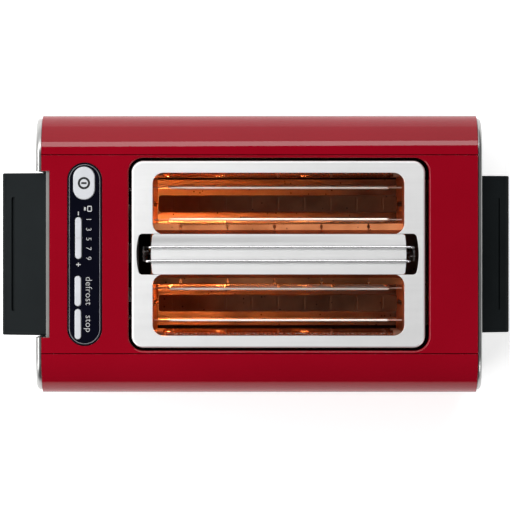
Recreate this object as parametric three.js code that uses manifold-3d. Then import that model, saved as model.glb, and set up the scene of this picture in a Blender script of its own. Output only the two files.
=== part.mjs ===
// A two-slot pop-up toaster: painted shells, steel slot plate, lift lever at the left end, fixed handle
// at the cord end, and a bun rack of two folding rods on the centre bar.
// Millimetres. +X points to the cord end, +Y to the rear, +Z up. The origin is on the resting plane,
// under the middle of the overall box.
import * as THREE from 'three';
import { mergeVertices } from 'three/addons/utils/BufferGeometryUtils.js';
import Module from 'manifold-3d';

const wasm = await Module();
wasm.setup();

// ---------------------------------------------------------------- driving sizes
const FIT = 0.3; // gap between pieces that touch
const RUN = 0.6; // gap around what slides
const SHEET = 1.2; // steel sheet
const THIN = 0.8; // reflector and chamber sheet

const BODY_LENGTH = 349.4; // painted shells, end to end
const BODY_DEPTH = 223.5;
const DECK_TOP = 207; // above the resting plane
const SHOULDER = 31.85; // radius of the two long top edges
const SHELL_WALL = 1.5;
const LEVER_REACH = 32.5; // lever, past the painted body
const HANDLE_REACH = 26.3; // handle, past the painted body
const TUCK = 9; // radius under the shells' lower edges

const BASE_BOTTOM = 7;
const BASE_FLOOR = 3;
const RAIL_HEIGHT = 8; // rails that guide the crumb tray
const CHANNEL_WALL = 2.6;
const FOOT_RADIUS = 9;
const FOOT_INSET = { x: 32, y: 30 };

const CAP_INSET = 2.2; // end caps are this much smaller than the shells' outline
const CAP_BULGE = { lever: 4.7, cord: 3.7 };

const CONTROL_ZONE = 69.8; // deck from its lever end to the slot plate's opening
const CORD_ZONE = 39.1; // deck from the opening to its cord end
const DECK_SHEET = 1.6;
const LIP = { width: 2.4, depth: 8 };
const PLATE_GAP = { side: 2.4, cord: 3.2 };
const PLATE_RIM = 6; // depth of the plate's turned-down edges
const PLATE_DROP = 0.4; // the plate lies this far under the deck's top
const PLATE_RADIUS = 9.5;
const SLOT_MARGIN = { lever: 16.8, cord: 16.4, side: 9.5 }; // plate around the slots
const SLOT_RADIUS = 8.8;
const BAR_HALF = 16.1; // half width of the centre bar
const BAR_DEPTH = 10.2;
const RECESS = { lever: 12.9, cord: 11.5, bulge: 2.3 }; // finger recess past each end of the slots

const CHAMBER_LEG = 14; // height of the way under the chambers for the crumb tray
const RACK_DEPTH = 81; // from the deck's top to the bread racks with the lever up
const RACK_LOW = 66; // height of the racks with the lever down
const HIGH_LIFT = 10;
const RACK_HALF = 7;

const NOTCH = { depth: 6.6, half: 66.6 }; // cut in the deck's lever end
const LEVER = { half: 65.2, drop: 8, outerDrop: 23 }; // drops are below the deck's top
const HANDLE = { half: 63, drop: 11, outerDrop: 22 };
const ARM = { offset: 52, thick: 2, tall: 8 };

const PANEL = { width: 27.4, length: 146.3, fromEnd: 34.7 };
const ROD_RADIUS = 0.9;
const BAIL = { offset: 5.6, pivotOffset: 2, height: 40 };
const TRAY = { half: 62, height: 7, wall: 1 };
const WIRE_RADIUS = 0.8;

// ---------------------------------------------------------------- places that follow from them
const LEFT = -(LEVER_REACH + BODY_LENGTH + HANDLE_REACH) / 2 + LEVER_REACH;
const RIGHT = LEFT + BODY_LENGTH;
const OUTER_LEFT = LEFT - LEVER_REACH;
const OUTER_RIGHT = RIGHT + HANDLE_REACH;
const HALF_DEPTH = BODY_DEPTH / 2;
const SEAM = HALF_DEPTH - SHOULDER; // where the shells meet the deck
const SHELL_BOTTOM = BASE_BOTTOM + 3.5;
const BASE_TOP = BASE_BOTTOM + BASE_FLOOR;
const BASE_HALF = HALF_DEPTH - TUCK / 2 - SHELL_WALL - FIT;

const OPEN = {
  left: LEFT + CONTROL_ZONE,
  right: RIGHT - CORD_ZONE,
  half: SEAM - FIT - LIP.width,
};
const PLATE = {
  left: OPEN.left + PLATE_GAP.side,
  right: OPEN.right - PLATE_GAP.cord,
  half: OPEN.half - PLATE_GAP.side,
  top: DECK_TOP - PLATE_DROP,
};
const SLOT = {
  left: PLATE.left + SLOT_MARGIN.lever,
  right: PLATE.right - SLOT_MARGIN.cord,
  inner: BAR_HALF,
  outer: PLATE.half - SLOT_MARGIN.side,
};
const SLOT_MID = (SLOT.inner + SLOT.outer) / 2;
const BAND = { left: SLOT.left - RECESS.lever, right: SLOT.right + RECESS.cord, half: BAR_HALF + FIT };
const BAR = { left: SLOT.left - 1.2, right: SLOT.right + 1.4 };
const WALL_LEFT = SLOT.left - FIT - THIN; // outer faces of the two chamber end walls
const WALL_RIGHT = SLOT.right + FIT + THIN;
const CHAMBER_HALF = SLOT.outer + 8.5;
const CHAMBER_TOP = PLATE.top - PLATE_RIM - 2.6;
const RACK_REST = DECK_TOP - RACK_DEPTH;
const TRAVEL = RACK_REST - RACK_LOW;

const steel = { color: 0xd9d9db, roughness: 0.3, metalness: 1 };
const red = { color: 0x8c0a1c, roughness: 0.25, metalness: 0.2 };
const black = { color: 0x202426, roughness: 0.6, metalness: 0 };
const copper = { color: 0xb0683a, roughness: 0.35, metalness: 1 };

const toaster = new THREE.Group();
toaster.name = 'pop_up_toaster';

// ---------------------------------------------------------------- helpers
function addPart(name, geometry, look) {
  const mesh = new THREE.Mesh(geometry, new THREE.MeshStandardMaterial(look));
  mesh.name = name;
  toaster.add(mesh);
  return mesh;
}

function solidOf(geometry) {
  const bare = geometry.clone();
  bare.deleteAttribute('normal');
  bare.deleteAttribute('uv');
  const merged = mergeVertices(bare, 1e-3);
  return new wasm.Manifold(new wasm.Mesh({
    numProp: 3,
    vertProperties: merged.attributes.position.array,
    triVerts: new Uint32Array(merged.index.array),
  }));
}

function geometryOf(solid) {
  const mesh = solid.simplify(0.01).getMesh();
  const geometry = new THREE.BufferGeometry();
  geometry.setAttribute('position', new THREE.BufferAttribute(mesh.vertProperties, 3));
  geometry.setIndex(new THREE.BufferAttribute(mesh.triVerts, 1));
  return geometry;
}

function join(...geometries) {
  return geometryOf(geometries.map(solidOf).reduce((whole, piece) => whole.add(piece)));
}

function common(geometry, other) {
  return geometryOf(solidOf(geometry).intersect(solidOf(other)));
}

function cut(geometry, ...tools) {
  return geometryOf(tools.map(solidOf).reduce((whole, tool) => whole.subtract(tool), solidOf(geometry)));
}

function box(x0, x1, y0, y1, z0, z1) {
  const geometry = new THREE.BoxGeometry(x1 - x0, y1 - y0, z1 - z0);
  return geometry.translate((x0 + x1) / 2, (y0 + y1) / 2, (z0 + z1) / 2);
}

// A round bar between two points. The twist turns its facets about its own axis.
function rod(from, to, radius, sides = 8, twist = 0) {
  const start = new THREE.Vector3(...from);
  const along = new THREE.Vector3(...to).sub(start);
  const geometry = new THREE.CylinderGeometry(radius, radius, along.length(), sides);
  const up = new THREE.Vector3(0, 1, 0);
  geometry.rotateY(twist);
  geometry.applyQuaternion(new THREE.Quaternion().setFromUnitVectors(up, along.clone().normalize()));
  return geometry.translate(...start.addScaledVector(along, 0.5).toArray());
}

// An outline drawn in X and Y, from z0 up to z1.
function upright(shape, z0, z1, curveSegments = 6) {
  const geometry = new THREE.ExtrudeGeometry(shape, { depth: z1 - z0, bevelEnabled: false, curveSegments });
  return geometry.translate(0, 0, z0);
}

// An outline drawn in Y and Z, from x0 to x1.
function alongX(shape, x0, x1, curveSegments = 8) {
  const geometry = new THREE.ExtrudeGeometry(shape, { depth: x1 - x0, bevelEnabled: false, curveSegments });
  const turn = new THREE.Matrix4().makeBasis(
    new THREE.Vector3(0, 1, 0),
    new THREE.Vector3(0, 0, 1),
    new THREE.Vector3(1, 0, 0),
  );
  return geometry.applyMatrix4(turn).translate(x0, 0, 0);
}

// An outline drawn in X and Z, from y0 to y1.
function alongY(shape, y0, y1, curveSegments = 6) {
  const geometry = new THREE.ExtrudeGeometry(shape, { depth: y1 - y0, bevelEnabled: false, curveSegments });
  return geometry.rotateX(Math.PI / 2).translate(0, y1, 0);
}

function polygon(points) {
  return new THREE.Shape(points.map(([x, y]) => new THREE.Vector2(x, y)));
}

function roundedRect(x0, x1, y0, y1, radius) {
  const r = Math.min(radius, (x1 - x0) / 2 - 0.01, (y1 - y0) / 2 - 0.01);
  const shape = new THREE.Shape();
  shape.moveTo(x0 + r, y0);
  shape.lineTo(x1 - r, y0);
  shape.absarc(x1 - r, y0 + r, r, -Math.PI / 2, 0, false);
  shape.lineTo(x1, y1 - r);
  shape.absarc(x1 - r, y1 - r, r, 0, Math.PI / 2, false);
  shape.lineTo(x0 + r, y1);
  shape.absarc(x0 + r, y1 - r, r, Math.PI / 2, Math.PI, false);
  shape.lineTo(x0, y0 + r);
  shape.absarc(x0 + r, y0 + r, r, Math.PI, Math.PI * 1.5, false);
  return shape;
}

function stadium(x, y, width, length) {
  return roundedRect(x - width / 2, x + width / 2, y - length / 2, y + length / 2, width / 2);
}

// Two straight long edges and two ends that bow outwards.
function bowedBar(x0, x1, half, bulge) {
  const shape = new THREE.Shape();
  shape.moveTo(x0 + bulge, -half);
  shape.lineTo(x1 - bulge, -half);
  shape.quadraticCurveTo(x1 + bulge, 0, x1 - bulge, half);
  shape.lineTo(x0 + bulge, half);
  shape.quadraticCurveTo(x0 - bulge, 0, x0 + bulge, -half);
  return shape;
}

// The toaster's cross section in Y and Z, smaller all round by inset.
function bodySection(inset, bottom) {
  const half = HALF_DEPTH - inset;
  const top = DECK_TOP - inset;
  const shape = new THREE.Shape();
  shape.moveTo(-(half - TUCK / 2), bottom);
  shape.lineTo(half - TUCK / 2, bottom);
  shape.lineTo(half, bottom + TUCK);
  shape.lineTo(half, DECK_TOP - SHOULDER);
  shape.absarc(SEAM, DECK_TOP - SHOULDER, SHOULDER - inset, 0, Math.PI / 2, false);
  shape.lineTo(-SEAM, top);
  shape.absarc(-SEAM, DECK_TOP - SHOULDER, SHOULDER - inset, Math.PI / 2, Math.PI, false);
  shape.lineTo(-half, bottom + TUCK);
  return shape;
}

// ---------------------------------------------------------------- casing
function sideShell(side) {
  const low = DECK_TOP - SHOULDER;
  const inner = SHOULDER - SHELL_WALL;
  const shape = new THREE.Shape();
  shape.moveTo(HALF_DEPTH - TUCK / 2, SHELL_BOTTOM);
  shape.lineTo(HALF_DEPTH, SHELL_BOTTOM + TUCK);
  shape.lineTo(HALF_DEPTH, low);
  shape.absarc(SEAM, low, SHOULDER, 0, Math.PI / 2, false);
  shape.lineTo(SEAM, DECK_TOP - SHELL_WALL);
  shape.absarc(SEAM, low, inner, Math.PI / 2, 0, true);
  shape.lineTo(HALF_DEPTH - SHELL_WALL, SHELL_BOTTOM + TUCK);
  shape.lineTo(HALF_DEPTH - TUCK / 2 - SHELL_WALL, SHELL_BOTTOM);
  const geometry = alongX(shape, LEFT, RIGHT, 10);
  if (side > 0) return geometry;
  return geometry.rotateZ(Math.PI).translate(LEFT + RIGHT, 0, 0);
}

function topDeck(panelX) {
  const half = SEAM - FIT;
  const outline = polygon([
    [LEFT, -half], [RIGHT, -half], [RIGHT, half], [LEFT, half],
    [LEFT, NOTCH.half], [LEFT + NOTCH.depth, NOTCH.half],
    [LEFT + NOTCH.depth, -NOTCH.half], [LEFT, -NOTCH.half],
  ]);
  const openShape = roundedRect(OPEN.left, OPEN.right, -OPEN.half, OPEN.half, PLATE_RADIUS + PLATE_GAP.side);
  outline.holes.push(openShape);
  outline.holes.push(stadium(panelX, 0, PANEL.width + 2 * FIT, PANEL.length + 2 * FIT));
  const lip = roundedRect(
    OPEN.left - LIP.width, OPEN.right + LIP.width, -half, half, PLATE_RADIUS + PLATE_GAP.side + LIP.width);
  lip.holes.push(openShape);
  const sheet = upright(outline, DECK_TOP - DECK_SHEET, DECK_TOP);
  return join(sheet, upright(lip, DECK_TOP - LIP.depth, DECK_TOP - DECK_SHEET / 2));
}

function endCap(side) {
  const face = side < 0 ? LEFT - FIT : RIGHT + FIT;
  const bulge = side < 0 ? CAP_BULGE.lever - FIT : CAP_BULGE.cord - FIT;
  const outer = face + side * bulge;
  const inner = outer - side * SHEET;
  const skin = alongX(bodySection(CAP_INSET, SHELL_BOTTOM), Math.min(face, outer), Math.max(face, outer));
  const hollow = alongX(
    bodySection(CAP_INSET + SHEET, SHELL_BOTTOM + SHEET),
    Math.min(face - side, inner),
    Math.max(face - side, inner),
  );
  return cut(skin, hollow);
}

function leverEndCap() {
  const low = DECK_TOP - LEVER.drop - 40 - TRAVEL;
  return cut(endCap(-1), box(OUTER_LEFT, LEFT + 1, -NOTCH.half, NOTCH.half, low, DECK_TOP + 1));
}

function cordEndCap(gland) {
  const trayTop = BASE_TOP + FIT + TRAY.height + 8;
  return cut(
    endCap(1),
    box(RIGHT - 1, OUTER_RIGHT, -TRAY.half - 2, TRAY.half + 2, 0, trayTop),
    rod([RIGHT - 1, gland.y, gland.z], [OUTER_RIGHT, gland.y, gland.z], gland.body + FIT, 16),
  );
}

// A channel that the lever runs in, with two slots for the carriage's arms.
function leverChannel() {
  const back = LEFT + NOTCH.depth - FIT;
  const front = back - CHANNEL_WALL;
  const low = BASE_TOP + RAIL_HEIGHT + FIT;
  const top = DECK_TOP - DECK_SHEET - FIT;
  const side = NOTCH.half + 1.5;
  const shape = polygon([
    [back, -side], [back, side], [LEFT + FIT, side], [LEFT + FIT, NOTCH.half],
    [front, NOTCH.half], [front, -NOTCH.half], [LEFT + FIT, -NOTCH.half], [LEFT + FIT, -side],
  ]);
  const armLow = ARM_BOTTOM - TRAVEL - 2;
  const armHigh = ARM_BOTTOM + ARM.tall + HIGH_LIFT + 2;
  const slots = [-1, 1].map((s) => box(
    front - 1, back + 1, s * ARM.offset - ARM.thick / 2 - RUN, s * ARM.offset + ARM.thick / 2 + RUN, armLow, armHigh));
  return cut(upright(shape, low, top), ...slots);
}

// ---------------------------------------------------------------- base
function basePlate() {
  const rail = TRAY.half + RUN;
  const shape = polygon([
    [-BASE_HALF, BASE_BOTTOM], [BASE_HALF, BASE_BOTTOM], [BASE_HALF, BASE_TOP + 6], [BASE_HALF - 2, BASE_TOP + 6],
    [BASE_HALF - 2, BASE_TOP], [rail + 2, BASE_TOP], [rail + 2, BASE_TOP + RAIL_HEIGHT], [rail, BASE_TOP + RAIL_HEIGHT],
    [rail, BASE_TOP], [-rail, BASE_TOP], [-rail, BASE_TOP + RAIL_HEIGHT], [-rail - 2, BASE_TOP + RAIL_HEIGHT],
    [-rail - 2, BASE_TOP], [-BASE_HALF + 2, BASE_TOP], [-BASE_HALF + 2, BASE_TOP + 6],
    [-BASE_HALF, BASE_TOP + 6],
  ]);
  return alongX(shape, LEFT + 2, RIGHT - 2);
}

function crumbTray() {
  const low = BASE_TOP + FIT;
  const high = low + TRAY.height;
  const left = WALL_LEFT - 6;
  const right = RIGHT + CAP_BULGE.cord - 0.5;
  const dish = cut(
    box(left, RIGHT - 3, -TRAY.half, TRAY.half, low, high),
    box(left + TRAY.wall, RIGHT - 4, -TRAY.half + TRAY.wall, TRAY.half - TRAY.wall, low + TRAY.wall, high + 1),
  );
  return join(dish, box(RIGHT - 4, right, -TRAY.half, TRAY.half, low, high + 7));
}

function foot() {
  const profile = [[0, 0], [FOOT_RADIUS - 1, 0], [FOOT_RADIUS, 1], [FOOT_RADIUS - 1.5, BASE_BOTTOM - FIT]];
  profile.push([0, BASE_BOTTOM - FIT]);
  return new THREE.LatheGeometry(profile.map(([r, h]) => new THREE.Vector2(r, h)), 16).rotateX(Math.PI / 2);
}

function screwHead() {
  return new THREE.CylinderGeometry(3.2, 3.6, 1.8, 12).rotateX(-Math.PI / 2);
}

function cordGland(gland) {
  const seat = RIGHT + CAP_BULGE.cord + FIT;
  const profile = [
    [gland.bore, 0], [gland.body, 0], [gland.body, seat - RIGHT + 6], [gland.body + 3, seat - RIGHT + 6],
    [gland.body + 3, seat - RIGHT + 8.5], [gland.body - 1, seat - RIGHT + 11], [gland.bore, seat - RIGHT + 11],
    [gland.bore, 0],
  ];
  const ring = new THREE.LatheGeometry(profile.map(([r, h]) => new THREE.Vector2(r, h)), 16);
  return ring.rotateZ(-Math.PI / 2).translate(RIGHT - 6, gland.y, gland.z);
}

// ---------------------------------------------------------------- slot plate and centre bar
function slotPlate() {
  const low = PLATE.top - PLATE_RIM;
  const under = PLATE.top - SHEET;
  const outline = (grow) => roundedRect(
    PLATE.left - grow, PLATE.right + grow, -PLATE.half - grow, PLATE.half + grow, PLATE_RADIUS + grow);
  const slot = (side, grow, z0, z1) => {
    const y0 = side > 0 ? SLOT.inner - grow : -SLOT.outer - grow;
    const y1 = side > 0 ? SLOT.outer + grow : -SLOT.inner + grow;
    return upright(roundedRect(SLOT.left - grow, SLOT.right + grow, y0, y1, SLOT_RADIUS + grow), z0, z1);
  };
  const band = (grow, z0, z1) => upright(
    bowedBar(BAND.left - grow, BAND.right + grow, BAND.half + grow, RECESS.bulge), z0, z1);
  const pan = cut(upright(outline(0), low, PLATE.top), upright(outline(-SHEET), low - 1, under));
  const rims = [slot(1, SHEET, low, under + 0.4), slot(-1, SHEET, low, under + 0.4), band(SHEET, low, under + 0.4)];
  const whole = join(pan, ...rims);
  return cut(whole, slot(1, 0, 0, 300), slot(-1, 0, 0, 300), band(0, 0, 300));
}

function centreBar() {
  const low = PLATE.top - BAR_DEPTH;
  const shape = bowedBar(BAR.left, BAR.right, BAR_HALF, RECESS.bulge / 2);
  const hollow = bowedBar(BAR.left + SHEET, BAR.right - SHEET, BAR_HALF - SHEET, RECESS.bulge / 2);
  return cut(upright(shape, low, PLATE.top), upright(hollow, low - 1, PLATE.top - SHEET));
}

// ---------------------------------------------------------------- bread chambers
function chamberWall(x0) {
  const foot0 = TRAY.half + RUN + 2 + FIT;
  const low = BASE_TOP + CHAMBER_LEG;
  const shape = polygon([
    [-CHAMBER_HALF, BASE_TOP + FIT], [-foot0, BASE_TOP + FIT], [-foot0, low], [foot0, low],
    [foot0, BASE_TOP + FIT], [CHAMBER_HALF, BASE_TOP + FIT], [CHAMBER_HALF, CHAMBER_TOP],
    [-CHAMBER_HALF, CHAMBER_TOP],
  ]);
  const wall = alongX(shape, x0, x0 + THIN);
  const webs = [-1, 1].map((s) => box(
    x0 - 1, x0 + THIN + 1, s * SLOT_MID - 2, s * SLOT_MID + 2, RACK_LOW - 16, RACK_REST + HIGH_LIFT + 4));
  const lift = box(x0 - 1, x0 + THIN + 1, -2.5, 2.5, BUN_BAR.low - 2, BUN_BAR.high + BAIL.height + 2);
  const barLow = PLATE.top - BAR_DEPTH - FIT;
  const seat = box(x0 - 1, x0 + THIN + 1, -BAND.half, BAND.half, barLow, CHAMBER_TOP + 1);
  return cut(wall, ...webs, lift, seat);
}

function outerReflector(side) {
  const face = CHAMBER_HALF - 1.2;
  const points = [
    [face, BASE_TOP + 22], [face, CHAMBER_TOP - 2], [face - 6, CHAMBER_TOP - 2],
    [face - 6, CHAMBER_TOP - 2 - THIN], [face - THIN, CHAMBER_TOP - 2 - THIN], [face - THIN, BASE_TOP + 22],
  ];
  const shape = polygon(points.map(([y, z]) => [side * y, z]));
  return alongX(shape, WALL_LEFT + THIN + FIT, WALL_RIGHT - THIN - FIT);
}

// Its top turns out past the centre bar and down to a ledge beside the guard.
function innerReflector(side) {
  const top = PLATE.top - BAR_DEPTH - FIT;
  const ledge = top - INNER_LIP.drop;
  const points = [
    [INNER_REFLECTOR, BASE_TOP + 22], [INNER_REFLECTOR + THIN, BASE_TOP + 22],
    [INNER_REFLECTOR + THIN, top - THIN], [BAR_HALF - 2.4, top - THIN],
    [BAR_HALF + INNER_LIP.slope - 0.3, ledge - THIN], [BAR_HALF + INNER_LIP.reach, ledge - 1 - THIN],
    [BAR_HALF + INNER_LIP.reach, ledge - 1], [BAR_HALF + INNER_LIP.slope, ledge],
    [BAR_HALF - 2, top], [INNER_REFLECTOR, top],
  ];
  const shape = polygon(points.map(([y, z]) => [side * y, z]));
  return alongX(shape, WALL_LEFT + THIN + FIT, WALL_RIGHT - THIN - FIT);
}

function heaterTube(y, z) {
  return rod([WALL_LEFT + THIN + FIT, y, z], [WALL_RIGHT - THIN - FIT, y, z], HEATER_RADIUS, 10);
}

// A welded wire guard that leans a little and turns on its bottom wire. Bread stands against it.
function breadGuard(side, inner) {
  const top = SLOT_MID + (inner ? -GUARD.top : GUARD.top);
  const bottom = SLOT_MID + (inner ? -GUARD.bottom : GUARD.bottom);
  const high = PLATE.top - GUARD.drop;
  const at = (z) => side * (bottom + (top - bottom) * (z - GUARD.pivot) / (high - GUARD.pivot));
  const left = WALL_LEFT + THIN + FIT + 0.4;
  const right = WALL_RIGHT - THIN - FIT - 0.4;
  const first = SLOT.left + 13.3;
  const last = SLOT.right - 12;
  const mid = high - 20;
  const lower = [1, 2].map((n) => mid + (GUARD.pivot - mid) * n / 3);
  const wires = [
    rod([left, at(GUARD.pivot), GUARD.pivot], [right, at(GUARD.pivot), GUARD.pivot], WIRE_RADIUS * 1.2, 8, 0.2),
    rod([left, at(mid), mid], [right, at(mid), mid], WIRE_RADIUS * 0.7, 6, 0.2),
    ...lower.map((z) => rod([first - 3, at(z), z], [last + 3, at(z), z], WIRE_RADIUS * 0.7, 6, 0.2)),
    rod([first - 1.2, at(high), high], [last + 1.2, at(high), high], WIRE_RADIUS * 1.3, 8, 0.2),
  ];
  const count = 5;
  for (let i = 0; i < count; i += 1) {
    const x = first + (last - first) * i / (count - 1);
    wires.push(rod([x, at(GUARD.pivot), GUARD.pivot], [x, at(high), high], WIRE_RADIUS, 6, 0.37));
  }
  return join(...wires);
}

// ---------------------------------------------------------------- carriage, racks and latch
function breadRack(side) {
  const y = side * SLOT_MID;
  const deck = box(SLOT.left + 3, SLOT.right - 3, y - RACK_HALF, y + RACK_HALF, RACK_REST - THIN, RACK_REST);
  const web = box(WALL_LEFT - 12, WALL_RIGHT + 4, y - THIN / 2, y + THIN / 2, RACK_REST - 10, RACK_REST - THIN / 2);
  return join(deck, web);
}

function carriage() {
  const plateX = WALL_LEFT - 12 - FIT;
  const z0 = RACK_REST - 14;
  const z1 = ARM_BOTTOM + ARM.tall;
  const front = GUIDE.x - GUIDE.collar;
  const pieces = [box(plateX - THIN * 2, plateX, -SLOT_MID - 6, SLOT_MID + 6, z0, RACK_REST)];
  for (const s of [-1, 1]) {
    const y = s * ARM.offset;
    const arm = box(
      LEFT + NOTCH.depth - FIT - CHANNEL_WALL, plateX, y - ARM.thick / 2, y + ARM.thick / 2, ARM_BOTTOM, z1);
    const drop = box(plateX - 12, plateX, y - ARM.thick / 2, y + ARM.thick / 2, z0, z1);
    const ledgeEnds = [y, s * (SLOT_MID + 5)].sort((a, b) => a - b);
    const ledge = box(plateX - 1.6, plateX, ledgeEnds[0], ledgeEnds[1], z0, RACK_REST);
    const collar = box(
      front, plateX - 1, s * GUIDE.y - GUIDE.collar, s * GUIDE.y + GUIDE.collar, RACK_REST - 14, RACK_REST);
    pieces.push(arm, drop, ledge, collar);
  }
  pieces.push(box(MAGNET.x - 9, plateX - 1, -8, 8, KEEPER_Z + 2 + FIT, KEEPER_Z + 4 + FIT));
  const bores = [-1, 1].map((s) => rod(
    [GUIDE.x, s * GUIDE.y, 0], [GUIDE.x, s * GUIDE.y, 300], GUIDE.radius + RUN, 12));
  return cut(join(...pieces), ...bores);
}

function guideRod(side) {
  const low = BASE_TOP + FIT;
  return rod([GUIDE.x, side * GUIDE.y, low], [GUIDE.x, side * GUIDE.y, DECK_TOP - 7], GUIDE.radius, 12);
}

class Helix extends THREE.Curve {
  constructor(radius, height, turns) {
    super();
    this.radius = radius;
    this.height = height;
    this.turns = turns;
  }

  getPoint(t, target = new THREE.Vector3()) {
    const angle = t * this.turns * 2 * Math.PI;
    return target.set(this.radius * Math.cos(angle), this.radius * Math.sin(angle), this.height * t);
  }
}

// A compression spring round the rear guide rod that pushes the carriage up.
function liftSpring() {
  const low = BASE_TOP + FIT + SPRING.wire;
  const high = RACK_REST - 14 - FIT - SPRING.wire;
  const section = new THREE.Shape();
  section.absarc(0, 0, SPRING.wire, 0, Math.PI * 2, false);
  const coil = new THREE.ExtrudeGeometry(section, {
    steps: SPRING.turns * 9,
    curveSegments: 3,
    bevelEnabled: false,
    extrudePath: new Helix(SPRING.radius, high - low, SPRING.turns),
  });
  return coil.translate(GUIDE.x, GUIDE.y, low);
}

function latchMagnet() {
  const low = BASE_TOP + FIT;
  const coil = new THREE.CylinderGeometry(9, 9, MAGNET.top - low - 9, 16).rotateX(Math.PI / 2);
  coil.translate(MAGNET.x, 0, (low + 4 + MAGNET.top - 5) / 2);
  return join(
    box(MAGNET.x - 14, MAGNET.x + 14, -12, 12, low, low + 5),
    coil,
    box(MAGNET.x - 6, MAGNET.x + 6, -6, 6, MAGNET.top - 6, MAGNET.top),
  );
}

function keeperPlate() {
  return box(MAGNET.x - 8, MAGNET.x + 8, -7, 7, KEEPER_Z, KEEPER_Z + 2);
}

// ---------------------------------------------------------------- lever and handle
function gripProfile(inner, outer, side, grip) {
  const top = DECK_TOP - grip.drop;
  const outerTop = DECK_TOP - grip.outerDrop;
  const way = side < 0 ? -1 : 1;
  const x = (d) => inner + way * d;
  const reach = Math.abs(outer - inner);
  return polygon([
    [x(0), top], [x(reach - 2.5), outerTop + 1.2], [x(reach), outerTop - 1.5], [x(reach), outerTop - 9],
    [x(reach - 3), outerTop - 11.5], [x(reach * 0.5), outerTop - 13], [x(0), outerTop - 24],
  ]);
}

function liftLever() {
  const inner = LEFT + NOTCH.depth - FIT - CHANNEL_WALL - FIT;
  return alongY(gripProfile(inner, OUTER_LEFT, -1, LEVER), -LEVER.half, LEVER.half);
}

function sideHandle() {
  const inner = RIGHT + CAP_BULGE.cord + FIT;
  return alongY(gripProfile(inner, OUTER_RIGHT, 1, HANDLE), -HANDLE.half, HANDLE.half);
}

// ---------------------------------------------------------------- control panel
function controlPanel() {
  const low = DECK_TOP - DECK_SHEET - 1.2;
  const top = DECK_TOP + 0.3;
  const plate = upright(stadium(PANEL_X, 0, PANEL.width, PANEL.length), low, top, 8);
  const grooveShape = stadium(PANEL_X, 0, PANEL.width - 1.8, PANEL.length - 1.8);
  grooveShape.holes.push(stadium(PANEL_X, 0, PANEL.width - 4.2, PANEL.length - 4.2));
  const holes = BUTTONS.map((b) => upright(
    stadium(b.x, b.y, b.width + 2 * b.gap, b.length + 2 * b.gap), low - 1, top + 1, 8));
  const posts = [-64, -22, 36].map((y) => rod([PANEL_X + 9, y, BOARD.top + FIT], [PANEL_X + 9, y, low + 0.4], 1.6));
  return cut(join(plate, ...posts), upright(grooveShape, top - 0.8, top + 1, 8), ...holes);
}

function panelRing() {
  const top = DECK_TOP + 0.4;
  const shape = stadium(PANEL_X, 0, PANEL.width - 2.4, PANEL.length - 2.4);
  shape.holes.push(stadium(PANEL_X, 0, PANEL.width - 3.6, PANEL.length - 3.6));
  return upright(shape, top - 0.6, top, 8);
}

// A cap with a wider flange that keeps it under the panel.
function pushButton(b) {
  const cap = upright(stadium(b.x, b.y, b.width, b.length), BUTTON.low, BUTTON.top, 8);
  const flange = upright(stadium(b.x, b.y, b.width + 1.6, b.length + 1.6), BUTTON.low, BUTTON.low + 1.4, 8);
  return join(cap, flange);
}

function browningRocker(b) {
  const half = b.length / 2;
  const shape = polygon([
    [-half, BUTTON.low + 2.4], [0, BUTTON.low + 1], [half, BUTTON.low + 2.4], [half, BUTTON.top],
    [0, BUTTON.top - 0.4], [-half, BUTTON.top],
  ]);
  const side = alongX(shape, b.x - b.width, b.x + b.width).translate(0, b.y, 0);
  const plan = upright(stadium(b.x, b.y, b.width, b.length), BUTTON.low - 1, BUTTON.top + 1, 8);
  const body = common(side, plan);
  const pin = rod([b.x - 4.4, b.y, ROCKER_AXIS_Z], [b.x + 4.4, b.y, ROCKER_AXIS_Z], 0.9);
  return join(body, pin);
}

function controlBoard() {
  const board = box(PANEL_X - 17, PANEL_X + 17, -70, 72, BOARD.top - 1.6, BOARD.top);
  const switches = BUTTONS.map((b) => box(
    b.x - 2.4, b.x + 2.4, b.y - 2.4, b.y + 2.4, BOARD.top - 0.4, BOARD.top + 2.2));
  const parts = [
    box(PANEL_X + 2, PANEL_X + 15, ARM.offset + 4, 69, BOARD.top - 12, BOARD.top - 1),
    box(PANEL_X + 4, PANEL_X + 15, -ARM.offset + 6, -28, BOARD.top - 9, BOARD.top - 1),
  ];
  return join(board, ...switches, ...parts);
}

function lightGuide() {
  const low = BOARD.top + FIT;
  return box(PANEL_X + 0.9, PANEL_X + 4.3, -6, 31, low, DECK_TOP - DECK_SHEET - 1.2 - FIT);
}

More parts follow.
